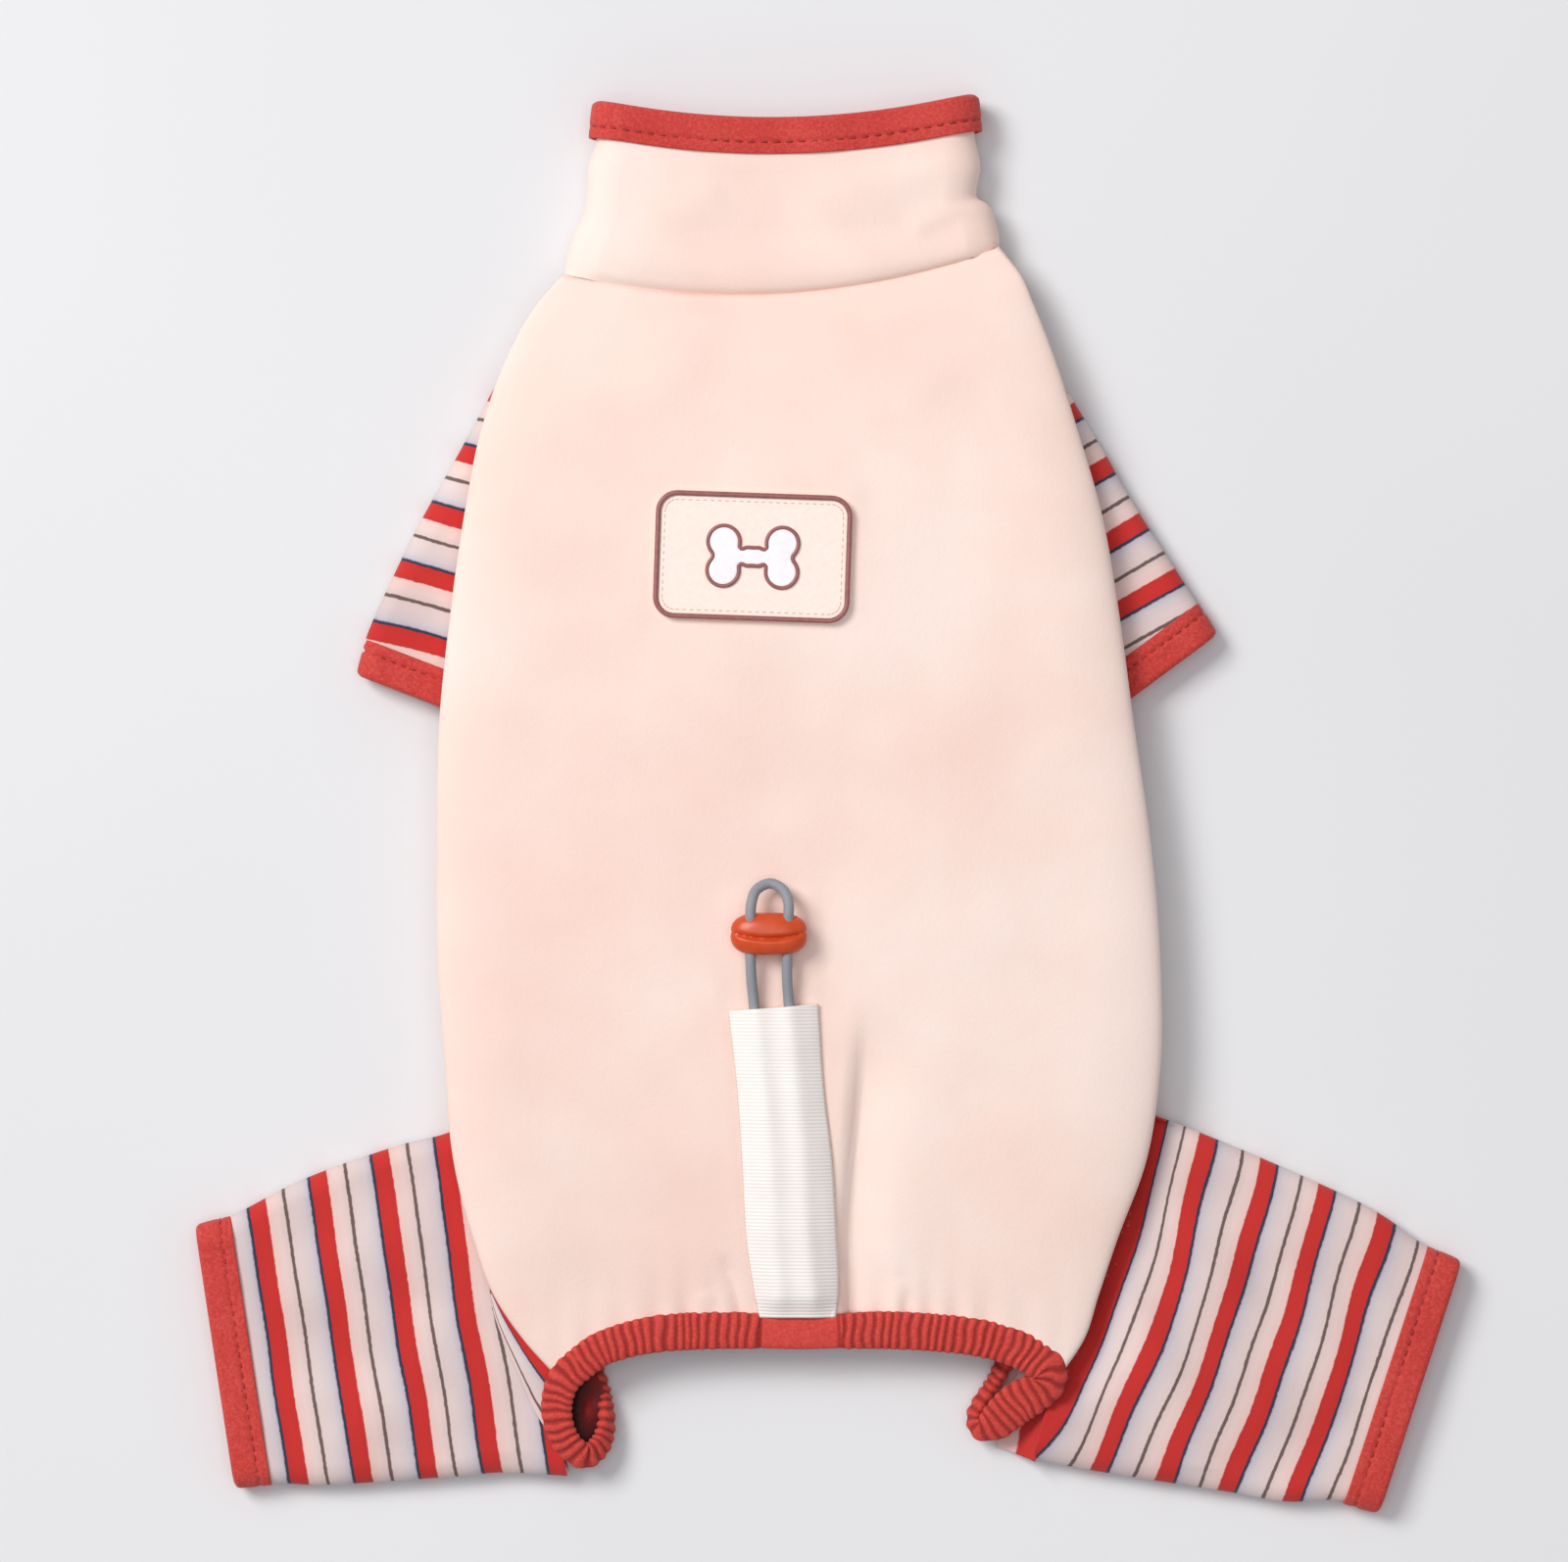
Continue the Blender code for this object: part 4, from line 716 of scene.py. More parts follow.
sleeves = (LIMBS["sleeve_left"], LIMBS["sleeve_right"])
legs = (LIMBS["hind_leg_left"], LIMBS["hind_leg_right"])
leg_y = min(limb_root(leg)[0][1] for leg in legs)
front = max(limb_root(sleeve)[0][1] for sleeve in sleeves)
slit_y = min(limb_root(sleeve)[1][1] for sleeve in sleeves) - SLIT_GAP
cuff_y = min(min(limb_opening(sleeve)[n][1] for n in (0, 1)) for sleeve in sleeves)
leg_rows = np.array([BELLY_HEM_Y, (BELLY_HEM_Y + leg_y) / 2, leg_y - 2 * FIT])
side_rows = np.concatenate([[leg_y + PAST_LEG], np.linspace(leg_y + PAST_LEG_NEXT, cuff_y - BELLY_RAMP, 6),
                            [cuff_y - BELLY_RAMP / 2, cuff_y, (cuff_y + slit_y) / 2, slit_y]])
slit_rows = np.concatenate([[slit_y + SLIT_GAP], np.linspace(slit_y, front - SLIT_GAP, 5)[1:], [front]])
y_rows = np.concatenate([leg_rows, side_rows, slit_rows])
first_side, first_slit, first_front = len(leg_rows), len(leg_rows) + len(side_rows), len(y_rows)
slit_x = [float(root_x(sleeve, limb_root(sleeve)[1][1])) for sleeve in sleeves]
inner, outer = {}, {}
for number, side in enumerate((-1, 1)):
    sleeve, leg = sleeves[number], legs[number]
    inner[side] = np.concatenate([np.full(first_slit, slit_x[number]),
                                  root_x(sleeve, np.minimum(slit_rows, limb_root(sleeve)[0][1]))])
    outer[side] = np.concatenate([root_x(leg, leg_rows), seam_edge(side, y_rows[first_side:])])
front_y = front + PAST_SLEEVE
front_share = np.linspace(0, 1, FRONT_ROWS)
front_edges = {side: np.full(FRONT_ROWS, float(seam_edge(side, front_y))) for side in (-1, 1)}
# The edge's x depends on its y and the neck line's y on its x: six rounds settle both.
for step in range(6):
    for side in (-1, 1):
        edge_y = front_y + front_share * (neck_line(front_edges[side]) - FIT - front_y)
        front_edges[side] = seam_edge(side, edge_y)
print("belly rows up to the sleeves' fronts:", first_front)

# %% Belly height


def belly_height(x, y, row, tongue):
    """Floor level in the middle, easing up to the seam height at the sides and over sleeves.

    The main grid stays level beside a slit, up to the sleeve's front fold, where it rises
    with the side seam. A tongue stays at the seam height over its sleeve.
    """
    floor = BODY_WALL / 2
    near = np.minimum(x - seam_edge(-1, y), seam_edge(1, y) - x)
    side_share = 1 - ease((near - BODY_WALL) / BELLY_RAMP)
    inward = np.minimum(np.abs(x - slit_x[0]), np.abs(x - slit_x[1]))
    outside = (x <= slit_x[0] + 1e-6) | (x >= slit_x[1] - 1e-6)
    over = np.where(outside, 1.0, 1 - ease(inward / BELLY_RAMP))
    over = over * ease((y - cuff_y + BELLY_RAMP) / BELLY_RAMP) * (y <= slit_y + 1e-6)
    raised = floor + (SEAM_Z - floor) * np.maximum(side_share, over)
    level = (row < first_side) | ((row >= first_slit) & (row < first_front - 1) & (not tongue))
    raised = np.where(level, floor, raised)
    return np.where((row >= first_slit) & tongue, SEAM_Z, raised)


print("belly at its hem's middle:", belly_height(0.0, BELLY_HEM_Y, 0, False), "mm high")

# %% Belly cage
shares = np.array([0.0, 0.012, 0.06, 0.14, 0.25, 0.42, 0.58, 0.75, 0.86, 0.94, 0.988, 1.0])[None, :]
rows_all = np.arange(first_front + FRONT_ROWS)[:, None]
left_edge = np.concatenate([inner[-1], front_edges[-1]])[:, None]
right_edge = np.concatenate([inner[1], front_edges[1]])[:, None]
x = left_edge + shares * (right_edge - left_edge)
line_y = np.concatenate([y_rows, np.zeros(FRONT_ROWS)])[:, None]
front_part = np.concatenate([np.zeros(first_front), front_share])[:, None]
bent = front_y + front_part * (neck_line(x) - FIT - front_y)
y = np.where(rows_all < first_front, line_y, bent)
blocks = [np.stack([x, y, belly_height(x, y, rows_all, False)], axis=-1)]
tongue_rows = first_slit + 4
for side, columns in ((-1, (0.0, 0.06, 0.35, 0.66, 1.0)), (1, (0.0, 0.34, 0.65, 0.94, 1.0))):
    rows_here = np.arange(tongue_rows)
    inside = inner[side][:tongue_rows] + np.where(rows_here >= first_slit, 2 * side * SEAM_GAP, 0.0)
    ends = (outer[side][:tongue_rows], inside)
    first, last = ends if side < 0 else ends[::-1]
    x = first[:, None] + np.array(columns) * (last - first)[:, None]
    y = np.broadcast_to(y_rows[:tongue_rows, None], x.shape)
    blocks.append(np.stack([x, y, belly_height(x, y, rows_here[:, None], True)], axis=-1))

points = np.concatenate([block.reshape(-1, 3) for block in blocks])
faces = []
start = 0
for block in blocks:
    rows, columns = block.shape[:2]
    faces.append(start + grid_cells(rows, columns)[2])
    start += rows * columns
# Points that two grids share become one, so that the subdivision rounds across them.
places, same = np.unique(points.round(3), axis=0, return_inverse=True)
belly_mesh = bpy.data.meshes.new("belly_jersey")
belly_mesh.from_pydata(in_frame(places).tolist(), [], same.reshape(-1)[np.concatenate(faces)].tolist())
belly = finish_piece("belly_jersey", belly_mesh, jersey, "belly_panel", BODY_WALL,
                     smooth_levels=2, even=False)

# %% [markdown]
# ## Coral jersey for the bound edges
# The neck, cuffs and rear edge are bound in strips of coral jersey with a heathered look:
# lighter and darker threads lie side by side. The strip is folded over the cloth's edge and
# held by one row of stitches 3 mm from its inner edge, which pull it in a little.

# %% Binding finish
coral, tree, shader = new_finish("heathered_coral_jersey", Roughness=0.85, Sheen_Weight=0.1,
                                 Sheen_Roughness=0.5)
threads = noise(tree, 1300.0, 3.0, Roughness=0.6)
heather = node(tree, "Math", {0: noise(tree, 60.0), 1: 0.35, 2: threads}, operation="MULTIPLY_ADD")
tree.links.new(
    shade_ramp(tree, heather.outputs[0], ((0.50, "BB302A"), (0.68, "CA3B34"), (0.86, "D34C44"))),
    shader.inputs["Base Color"])
add_relief(tree, shader, threads, 0.3, 0.0003)

# Polyester sewing thread in a darker red: tight, faintly shiny, each stitch a short bar.
red_thread = grained_finish("red_sewing_thread", 2500.0, "8E211F", "A92C29", Roughness=0.6)
print("binding finishes:", coral.name, red_thread.name)

# %% Stitches and binding strips


def sew(name, centres, ahead, up, length, thickness, finish, slot):
    """A row of short bars: each is three six-sided rings between two end points."""
    centres, ahead, up = (np.asarray(v, float) for v in (centres, ahead, up))
    ahead = unit(ahead)
    side = unit(np.cross(up, ahead))
    over = np.cross(ahead, side)
    angle = 2 * math.pi * np.arange(6) / 6
    spoke = np.cos(angle)[None, :, None] * side[:, None] + np.sin(angle)[None, :, None] * over[:, None]
    steps = np.array([-0.32, 0.0, 0.32])
    sizes = np.array([0.42, 0.5, 0.42])
    rings = centres[:, None, None] + (steps * length)[None, :, None, None] * ahead[:, None, None] \
        + (sizes * thickness)[None, :, None, None] * spoke[:, None]
    tips = centres[:, None] + np.array([-0.5, 0.5])[None, :, None] * length * ahead[:, None]
    tips = tips - 0.35 * thickness * over[:, None]
    points = np.concatenate([rings.reshape(len(centres), 18, 3), tips], axis=1)
    spot = np.arange(6)
    after = (spot + 1) % 6
    quads = np.concatenate([np.stack([base + spot, base + after, base + 6 + after, base + 6 + spot], axis=1)
                            for base in (0, 6)])
    starts = np.stack([np.full(6, 18), after, spot], axis=1)
    ends = np.stack([np.full(6, 19), 12 + spot, 12 + after], axis=1)
    first = 20 * np.arange(len(centres))[:, None, None]
    faces = (quads[None] + first).reshape(-1, 4).tolist()
    faces += (np.concatenate([starts, ends])[None] + first).reshape(-1, 3).tolist()
    mesh = bpy.data.meshes.new(name)
    mesh.from_pydata(in_frame(points.reshape(-1, 3)).tolist(), [], faces)
    return finish_piece(name, mesh, finish, None)


def binding_strip(loop, axis, wall, flare, edge=3.0, seed=0):
    """A folded strip round a tube's end loop: a long U whose open side faces up the tube.

    Its inner edge is wider than the loop by the flare: mm on the left and on the right of the
    axis. Returns the grid, the stitches' centres, their direction and the outward direction.
    """
    axis = np.array([*axis, 0.0])
    left_of = np.array([-axis[1], axis[0], 0.0])
    place = (loop - loop.mean(axis=0)) @ left_of
    place = place / np.abs(place).max()
    widen = (np.where(place > 0, *flare) * place)[:, None] * left_of
    ahead = neighbour_chord(loop)
    normal = unit(np.cross(ahead, axis))
    normal *= np.sign(np.sum(normal * (loop - loop.mean(axis=0))))
    slot_half = wall / 2 + FIT
    skin = slot_half + BINDING_LAYER
    cover = BINDING_WIDTH - BINDING_REACH
    out = np.linspace(-cover + 0.25, BINDING_REACH - 1.3, 30)
    puff = 0.16 * np.sin(math.pi * (out + cover) / BINDING_WIDTH)
    face = skin + puff - 0.34 * np.exp(-((out + cover - edge) / 0.55) ** 2)
    bend = np.radians(np.linspace(90, -90, 12))[1:-1]
    profile = np.concatenate([
        [(-cover, slot_half + 0.1), (-cover + 0.02, skin - 0.22)],
        np.stack([out, face], axis=1),
        np.stack([BINDING_REACH - 1.3 + 1.3 * np.cos(bend), skin * np.sin(bend)], axis=1),
        np.stack([out[::-3], -face[::-3]], axis=1),
        [(-cover, -skin + 0.1), (-cover, -slot_half), (FIT, -slot_half), (FIT, slot_half)],
    ])
    at = lengths_between(loop)
    swell = 0.16 * ripple(at, at * 0, 17.0, seed)[:, None]
    across, out_by = profile[None, :, 0], profile[None, :, 1]
    outer_skin = np.abs(out_by) > skin - 0.3
    out_by = out_by + swell * np.sign(out_by) * outer_skin
    grid = loop[:, None] + across[..., None] * axis + out_by[..., None] * normal[:, None]
    grid = grid - (across / cover)[..., None] * widen[:, None]
    grid[..., 2] = np.maximum(grid[..., 2], 0.02 - TORSO_PLACE[2])
    pitch_at = loop + (edge - cover) * axis + (skin - 0.14) * normal + (1 - edge / cover) * widen
    return grid, pitch_at, ahead, normal


def stitch_row(name, line, ahead, up, pitch, length, thickness):
    """Stitches at an even pitch on a closed line of points."""
    closed = np.concatenate([line, line[:1]])
    at = lengths_between(closed)
    where = np.arange(0, at[-1], at[-1] / round(at[-1] / pitch))
    read = [read_line(np.concatenate([v, v[:1]]), at, where) for v in (line, ahead, up)]
    return sew(name, *read, length, thickness, red_thread, "binding_jersey")


print("binding strips are", BINDING_WIDTH, "mm wide")

# %% [markdown]
# ## The collar
# The collar is a doubled, stand-up tube of the same jersey that lies flat. Rows of chords,
# left fold to right fold, give its outline from the neck seam to the top, and each chord
# carries a flat loop with round folds. It swells just over the seam, where the body's cloth
# is gathered into it, and a soft fold crosses it from the middle to the right.

# %% Flat tube
def flat_tube(lead, trail, height, lift, wall, sag=0.0, flat_steps=60, bend_steps=14):
    """Chords to flat loops: two level layers between half-round folds, sagging along -y.

    Also returns each point's place across (-1 to 1) and level (1 above, -1 below).
    """
    chord = trail - lead
    size = np.linalg.norm(chord, axis=1)[:, None]
    along = chord / size
    half_height = ((height - wall) / 2)[:, None]
    fold = 1.3 * half_height
    inset = wall / 2 + fold
    share = np.linspace(0, 1, flat_steps)[None, :]
    bend = np.radians(np.linspace(90, -90, bend_steps))[None, 1:-1]
    top = inset + share * (size - 2 * inset)
    bulge = np.cos(bend) * fold
    place = np.concatenate([top, size - inset + bulge, top[:, ::-1], inset - bulge], axis=1)
    ones = np.ones_like(share)
    level = np.concatenate([ones, np.sin(bend), -ones, -np.sin(bend)], axis=1)
    across = 2 * place / size - 1
    plan = lead[:, None] + place[..., None] * along[:, None]
    plan[..., 1] -= np.reshape(sag, (-1, 1)) * (1 - across**2)
    z = lift[:, None] + height[:, None] / 2 + half_height * level
    return np.concatenate([plan, z[..., None]], axis=-1), across, np.broadcast_to(level, across.shape)


def between(table, count):
    """A table's rows read at even steps of its first column."""
    table = np.asarray(table, float)
    where = np.linspace(table[0, 0], table[-1, 0], count)
    return [read_row(table[:, 0], table[:, column], where) for column in range(1, table.shape[1])]


# %% Collar
COLLAR_WALL, COLLAR_HEIGHT, COLLAR_LENGTH, COLLAR_STEPS = 1.8, 13.1, 44.0, 96
neck_left = np.array([float(side_x(-1, NECK_LEFT_Y)), NECK_LEFT_Y])
neck_middle = neck_left + np.array([NECK_WIDTH, NECK_RIGHT_Y - NECK_LEFT_Y]) / 2
COLLAR_CHORDS = (
    # row, left_out, left_rise, right_out, right_rise, sag, lift
    (0.0, -1.000, -0.077, 1.000, 0.076, 8.30, 0.00),
    (1.0, -0.977, 0.088, 1.009, 0.139, 7.88, 0.15),
    (2.0, -0.913, 0.269, 0.973, 0.303, 7.04, 0.45),
    (3.0, -0.897, 0.400, 0.905, 0.380, 6.34, 0.70),
    (4.0, -0.888, 0.560, 0.921, 0.560, 5.78, 0.90),
    (5.0, -0.850, 0.700, 0.895, 0.738, 5.50, 1.00),
    (6.0, -0.850, 0.912, 0.895, 0.952, 5.50, 1.00),
)
left_out, left_rise, right_out, right_rise, sag, lift = between(COLLAR_CHORDS, COLLAR_STEPS)
half_size = np.array([NECK_WIDTH / 2, COLLAR_LENGTH])
lead = neck_middle + np.stack([left_out, left_rise], axis=1) * half_size
trail = neck_middle + np.stack([right_out, right_rise], axis=1) * half_size
collar_grid, across, level = flat_tube(lead, trail, np.full(COLLAR_STEPS, COLLAR_HEIGHT), lift,
                                       COLLAR_WALL, sag, flat_steps=110)
rise = np.linspace(0, 1, COLLAR_STEPS)[:, None]
x, y = collar_grid[..., 0], collar_grid[..., 1]
swell = 1.3 * np.exp(-((rise - 0.16) / 0.13) ** 2) - 1.5 * np.exp(-((rise - 0.0) / 0.035) ** 2)
COLLAR_FOLDS = (
    # x from, y from, x to, y to, height, width on its left, width on its right
    (-6.0, 296.0, 38.0, 306.0, 0.7, 5.0, 7.0),
    (52.0, 303.0, 30.0, 292.0, 0.8, 4.0, 3.0),
    (-50.0, 286.0, -22.0, 300.0, 0.5, 5.0, 6.0),
)
bulge = (swell + fold_height(x, y, COLLAR_FOLDS) + 0.3 * ripple(x, y, 40.0, 31)) * (1 - across**8)
bulge = bulge * (1 - ease((rise - 0.7) / 0.12))
collar_grid[..., 2] += np.where(level > 0.99, bulge, 0.25 * bulge * (level > 0))
collar = lay_surface("collar_jersey", collar_grid, jersey, "collar", around=True,
                     wall=COLLAR_WALL)

grid, line, ahead, normal = binding_strip(collar_grid[-1], (0.0, 1.0), COLLAR_WALL, (0.9, 0.9), seed=41)
neck_strip = lay_surface("neck_strip", grid, coral, "neck_binding", around=True, ring=True)
stitch_row("neck_stitches", line, ahead, normal, pitch=3.2, length=2.1, thickness=0.55)

# %% [markdown]
# ## Striped jersey for sleeves and legs
# The limbs are a yarn-dyed striped jersey. One repeat is 16.5 mm: a navy line, a red band,
# a pink-white band, a thin brown line and an off-white band that turns bluish towards the
# next navy line. The UV map holds millimetres across the stripes, so the repeat is the
# remainder of that distance, read through one colour ramp.

# %% Striped jersey finish
STRIPE_REPEAT = 16.5
striped, tree, shader = new_finish("striped_cotton_jersey", Roughness=0.88, Sheen_Weight=0.1,
                                   Sheen_Roughness=0.5)
stripe_mm, _ = cloth_places(tree)
fray_mm = node(tree, "Math", {0: noise(tree, 700.0), 1: 0.5, 2: stripe_mm}, operation="MULTIPLY_ADD")
repeat = node(tree, "Math", {0: fray_mm.outputs[0], 1: 1 / STRIPE_REPEAT}, operation="MULTIPLY")
share = node(tree, "Math", {0: repeat.outputs[0]}, operation="FRACT")
STRIPES = (
    (0.000, "33304A"), (0.008, "CB2824"), (0.150, "CE2A25"), (0.262, "C92824"), (0.280, "EFCBC3"),
    (0.420, "EDD2CC"), (0.528, "E2CCC8"), (0.543, "6E5A56"), (0.582, "6E5A56"), (0.598, "E4D0CC"),
    (0.700, "E4D2CF"), (0.850, "DACDCF"), (0.930, "CAC3CB"), (0.950, "B3AEBB"), (0.964, "33354B"),
    (1.000, "33354B"),
)
dye = shade_ramp(tree, share.outputs[0], STRIPES)
cloudy = shade_ramp(tree, noise(tree, 45.0), ((0.3, "F2EEEE"), (0.7, "FFFFFF")))
mixed = node(tree, "Mix", {"Factor": 1.0, 6: dye, 7: cloudy}, data_type="RGBA", blend_type="MULTIPLY")
tree.links.new(mixed.outputs[2], shader.inputs["Base Color"])
add_relief(tree, shader, noise(tree, 500.0, 4.0, Roughness=0.6), 0.25, 0.0004)
print("striped jersey ready, repeat", STRIPE_REPEAT, "mm")

# %% [markdown]
# ## Sleeves, legs and their cuffs
# Each limb is a flat tube on a fan of chords from its root on the torso to its cuff, like
# the collar. The stripes are drawn parallel to the cuff, turned by a few degrees where the
# photograph shows it, and bent by slow waves. Gentle folds run along the limb. The cuff's
# strip follows the last loop and is stitched once round.

# %% Folds and stripes on a limb
ROOT_REACH = 26.0
LIMB_FOLDS = {
    # x from, y from, x to, y to, height, width on its left, width on its right
    "sleeve_left": ((-70.0, 232.0, -84.0, 176.0, 0.6, 4.0, 5.0),),
    "sleeve_right": ((70.0, 222.0, 86.0, 176.0, 0.6, 4.0, 5.0),),
    "hind_leg_left": (
        (-92.0, 44.0, -136.0, 14.0, 0.9, 8.0, 9.0), (-78.0, 26.0, -116.0, -18.0, 0.8, 7.0, 7.0)),
    "hind_leg_right": (
        (94.0, 44.0, 136.0, -8.0, 1.0, 7.0, 8.0), (80.0, 28.0, 104.0, -24.0, 1.1, 6.0, 6.0),
        (118.0, 40.0, 150.0, 2.0, 0.7, 6.0, 6.0)),
}


def stripe_places(limb, x, y, across, from_root):
    """Millimetres across the stripes and along them, for a point of a limb's cloth.

    The distance from the cuff's edge, turned by the limb's angle, less the first red's
    distance; waves and a lean near the root are added to it.
    """
    open_lead, open_trail, axis = limb_opening(limb)
    edge = (open_lead + open_trail) / 2
    stripe_axis = turned(axis, limb["stripe_turn"])
    inward = (edge[0] - x) * stripe_axis[0] + (edge[1] - y) * stripe_axis[1]
    inward = inward + limb["wave"] * ripple(x, y, 34.0, limb["seed"] + 50) * ease(inward / 14)
    at_lead, at_trail = limb["lean"]
    reach = np.clip((across + 1) / 2, 0, 1) ** 2.5
    inward = inward + (at_lead + (at_trail - at_lead) * reach) * ease(1 - from_root / ROOT_REACH)
    inward = inward + limb["bow"] * np.cos(math.pi / 2 * across) * np.clip(inward / limb["length"], 0, 1)
    inward = np.minimum(inward, limb["last"])
    side_axis = turned(axis, 90.0 * limb["side"])
    sideways = (x - edge[0]) * side_axis[0] + (y - edge[1]) * side_axis[1]
    return np.stack([limb["order"] * (inward - limb["first"]), sideways], axis=-1)


print("limb folds:", {name: len(folds) for name, folds in LIMB_FOLDS.items()})

# %% [markdown]
# The chords of a limb start on the torso, pass the rows of its table and end at the cuff's
# two corners. The right leg's upper layer sinks beside the body, which leaves a groove.

# %% Limbs
for limb_name, limb in LIMBS.items():
    lead, trail = limb_root(limb)
    open_lead, open_trail, axis = limb_opening(limb)
    across_axis = turned(axis, 90.0 * limb["side"])
    centre, length = (lead + trail) / 2, limb["length"] * limb["reach"]
    lift_end = (CUFF_HEIGHT - LIMB_HEIGHT) / 2
    count = len(limb["rows"])
    chords = [(0.0, *(lead + across_axis * limb["rise"]), *trail, CUFF_HEIGHT, 0.0)]
    for number, (lead_a, lead_b, trail_a, trail_b) in enumerate(limb["rows"]):
        part = (number + 1) / (count + 1)
        chords.append((part, *(centre + axis * length * lead_a + across_axis * limb["width"] * lead_b),
                       *(centre + axis * length * trail_a + across_axis * limb["width"] * trail_b),
                       CUFF_HEIGHT + part * (LIMB_HEIGHT - CUFF_HEIGHT), part * lift_end))
    full = limb["full"]
    flare = 0.4 * np.array(full[::limb["side"]])
    for part, step, spread in ((1.0 - BINDING_WIDTH / length, BINDING_WIDTH + BINDING_REACH, 1.0),
                               (1.0, BINDING_REACH, 0.0)):
        chords.append((part, *(open_lead - axis * step + across_axis * full[0] * spread),
                       *(open_trail - axis * step - across_axis * full[1] * spread), LIMB_HEIGHT, lift_end))
    steps, flat_steps = (72, 56) if count == 2 else (108, 84)
    lead_x, lead_y, trail_x, trail_y, height, lift = between(chords, steps)
    grid, across, level = flat_tube(np.stack([lead_x, lead_y], axis=1), np.stack([trail_x, trail_y], axis=1),
                                    height, lift, LIMB_WALL, flat_steps=flat_steps)
    x, y = grid[..., 0].copy(), grid[..., 1].copy()
    down = np.linspace(0, 1, steps)[:, None]
    free = ease((down - 0.02) / 0.15) * ease((1 - BINDING_WIDTH / length - down) / 0.12)
    soft = fold_height(x, y, LIMB_FOLDS[limb_name]) + 0.35 * ripple(x, y, 26.0, limb["seed"])
    grid[..., 2] += np.where(level > 0.99, soft, 0.3 * soft * (level > 0)) * free * (1 - across**8)
    if limb["lean"][0] > 0:
        sunk = 5.2 * ease(1 - down * length / ROOT_REACH) * ease((0.75 - across) / 0.3)
        grid[..., 2] -= np.where(level > 0.2, sunk, 0.0)
    cloth = all_round(stripe_places(limb, x, y, across, down * length))
    lay_surface(limb_name + "_jersey", grid, striped, limb_name, around=True,
                cloth=cloth, wall=LIMB_WALL, even=False)
    cuff_name = cuff_of(limb_name)
    strip, line, ahead, normal = binding_strip(grid[-1], axis, LIMB_WALL, flare, seed=limb["seed"] + 20)
    lay_surface(cuff_name + "_strip", strip, coral, cuff_name, around=True, ring=True)
    stitch_row(cuff_name + "_stitches", line, ahead, normal, pitch=2.7, length=1.8, thickness=0.45)

# %% [markdown]
# ## Tucks of striped cloth at the rear corners
# Where a leg meets the rear band, its cloth is pulled into the curl. On the left a small
# fold lies over the leg with its stripes turned along the body's edge, and on the right the
# cloth droops under the curl. Both are patches between two edge lines.

# %% Tucks
TUCK_ROWS, TUCK_COLUMNS = 40, 30


def between_edges(first, last):
    """A patch of rows along two edge lines and straight columns between them."""
    along = np.linspace(0, 1, TUCK_ROWS)
    first, last = (np.stack([read_row(np.linspace(0, 1, len(line)), np.array(line)[:, axis], along)
                             for axis in range(3)], axis=1) for line in (first, last))
    share = np.linspace(0, 1, TUCK_COLUMNS)[None, :, None]
    return first[:, None] + share * (last - first)[:, None]


tuck = between_edges(
    ((-78.6, 21.4, 9.3), (-74.4, 14.6, 10.0), (-69.1, 7.4, 10.3), (-63.9, 2.0, 10.5), (-60.2, -1.8, 10.6)),
    ((-79.0, 20.2, 9.2), (-76.6, 11.6, 9.9), (-71.9, 0.5, 10.1), (-67.5, -9.5, 10.2), (-63.8, -15.5, 10.2)))
run, share = np.meshgrid(np.linspace(0, 1, TUCK_ROWS), np.linspace(0, 1, TUCK_COLUMNS), indexing="ij")
tuck[..., 2] += 0.5 * np.sin(math.pi * share) * ease(run / 0.4)
cloth = np.stack([4.2 - 14.0 * share, 20 * run], axis=-1)
left_tuck = lay_surface("hind_leg_left_tuck", tuck, striped, "hind_leg_left",
                        cloth=cloth, wall=0.5)

droop = between_edges(
    ((50.6, -19.8, 0.9), (50.8, -15.0, 0.9), (51.5, -6.0, 0.9), (53.0, 3.0, 0.9)),
    ((60.2, -23.0, 7.9), (62.2, -14.5, 8.0), (64.4, -6.0, 8.0), (66.8, 2.6, 8.0)))
droop[..., 2] = droop[:, :1, 2] + (droop[:, -1:, 2] - droop[:, :1, 2]) * share**2.6
cloth = np.stack([7.2 - 5.6 * share, 20 * share], axis=-1)
right_tuck = lay_surface("hind_leg_right_tuck", droop, striped, "hind_leg_right",
                         cloth=cloth, wall=0.5)

# %% [markdown]
# ## The gathered rear binding
# The rear opening is edged with an elastic band in a coral tube. The elastic pulls the tube
# into close ribs, except for a smooth piece of tape below the casing. The band runs along
# the hem, curls over at both hind legs and returns under the belly. A flat, rounded profile
# is carried round that closed route, tilted where the band stands on its edge, and its skin
# swells and sinks with each rib.

# %% Gathered jersey finish
# The same coral jersey, pulled into ribs. The shade in the bottoms of the pleats is painted:
# the UV map's second number, 0 in a pleat and 1 on a rib's crest, darkens the colour there.
gathered, tree, shader = new_finish("gathered_coral_jersey", Roughness=0.85, Sheen_Weight=0.1,
                                    Sheen_Roughness=0.5)
_, crest = cloth_places(tree)
threads = noise(tree, 1300.0, 3.0, Roughness=0.6)
dye = shade_ramp(tree, threads, ((0.3, "C2352C"), (0.5, "CF4036"), (0.7, "D85046")))
# Painted shade: the coral is darkened towards the pleats' bottoms, lighter on the crests.
pleat_shade = shade_ramp(tree, crest, ((0.0, "C09494"), (0.3, "DCC0C0"), (0.65, "FFFFFF")))
mixed = node(tree, "Mix", {"Factor": 1.0, 6: dye, 7: pleat_shade}, data_type="RGBA", blend_type="MULTIPLY")
tree.links.new(mixed.outputs[2], shader.inputs["Base Color"])
add_relief(tree, shader, threads, 0.25, 0.0003)
print("gathered jersey ready")

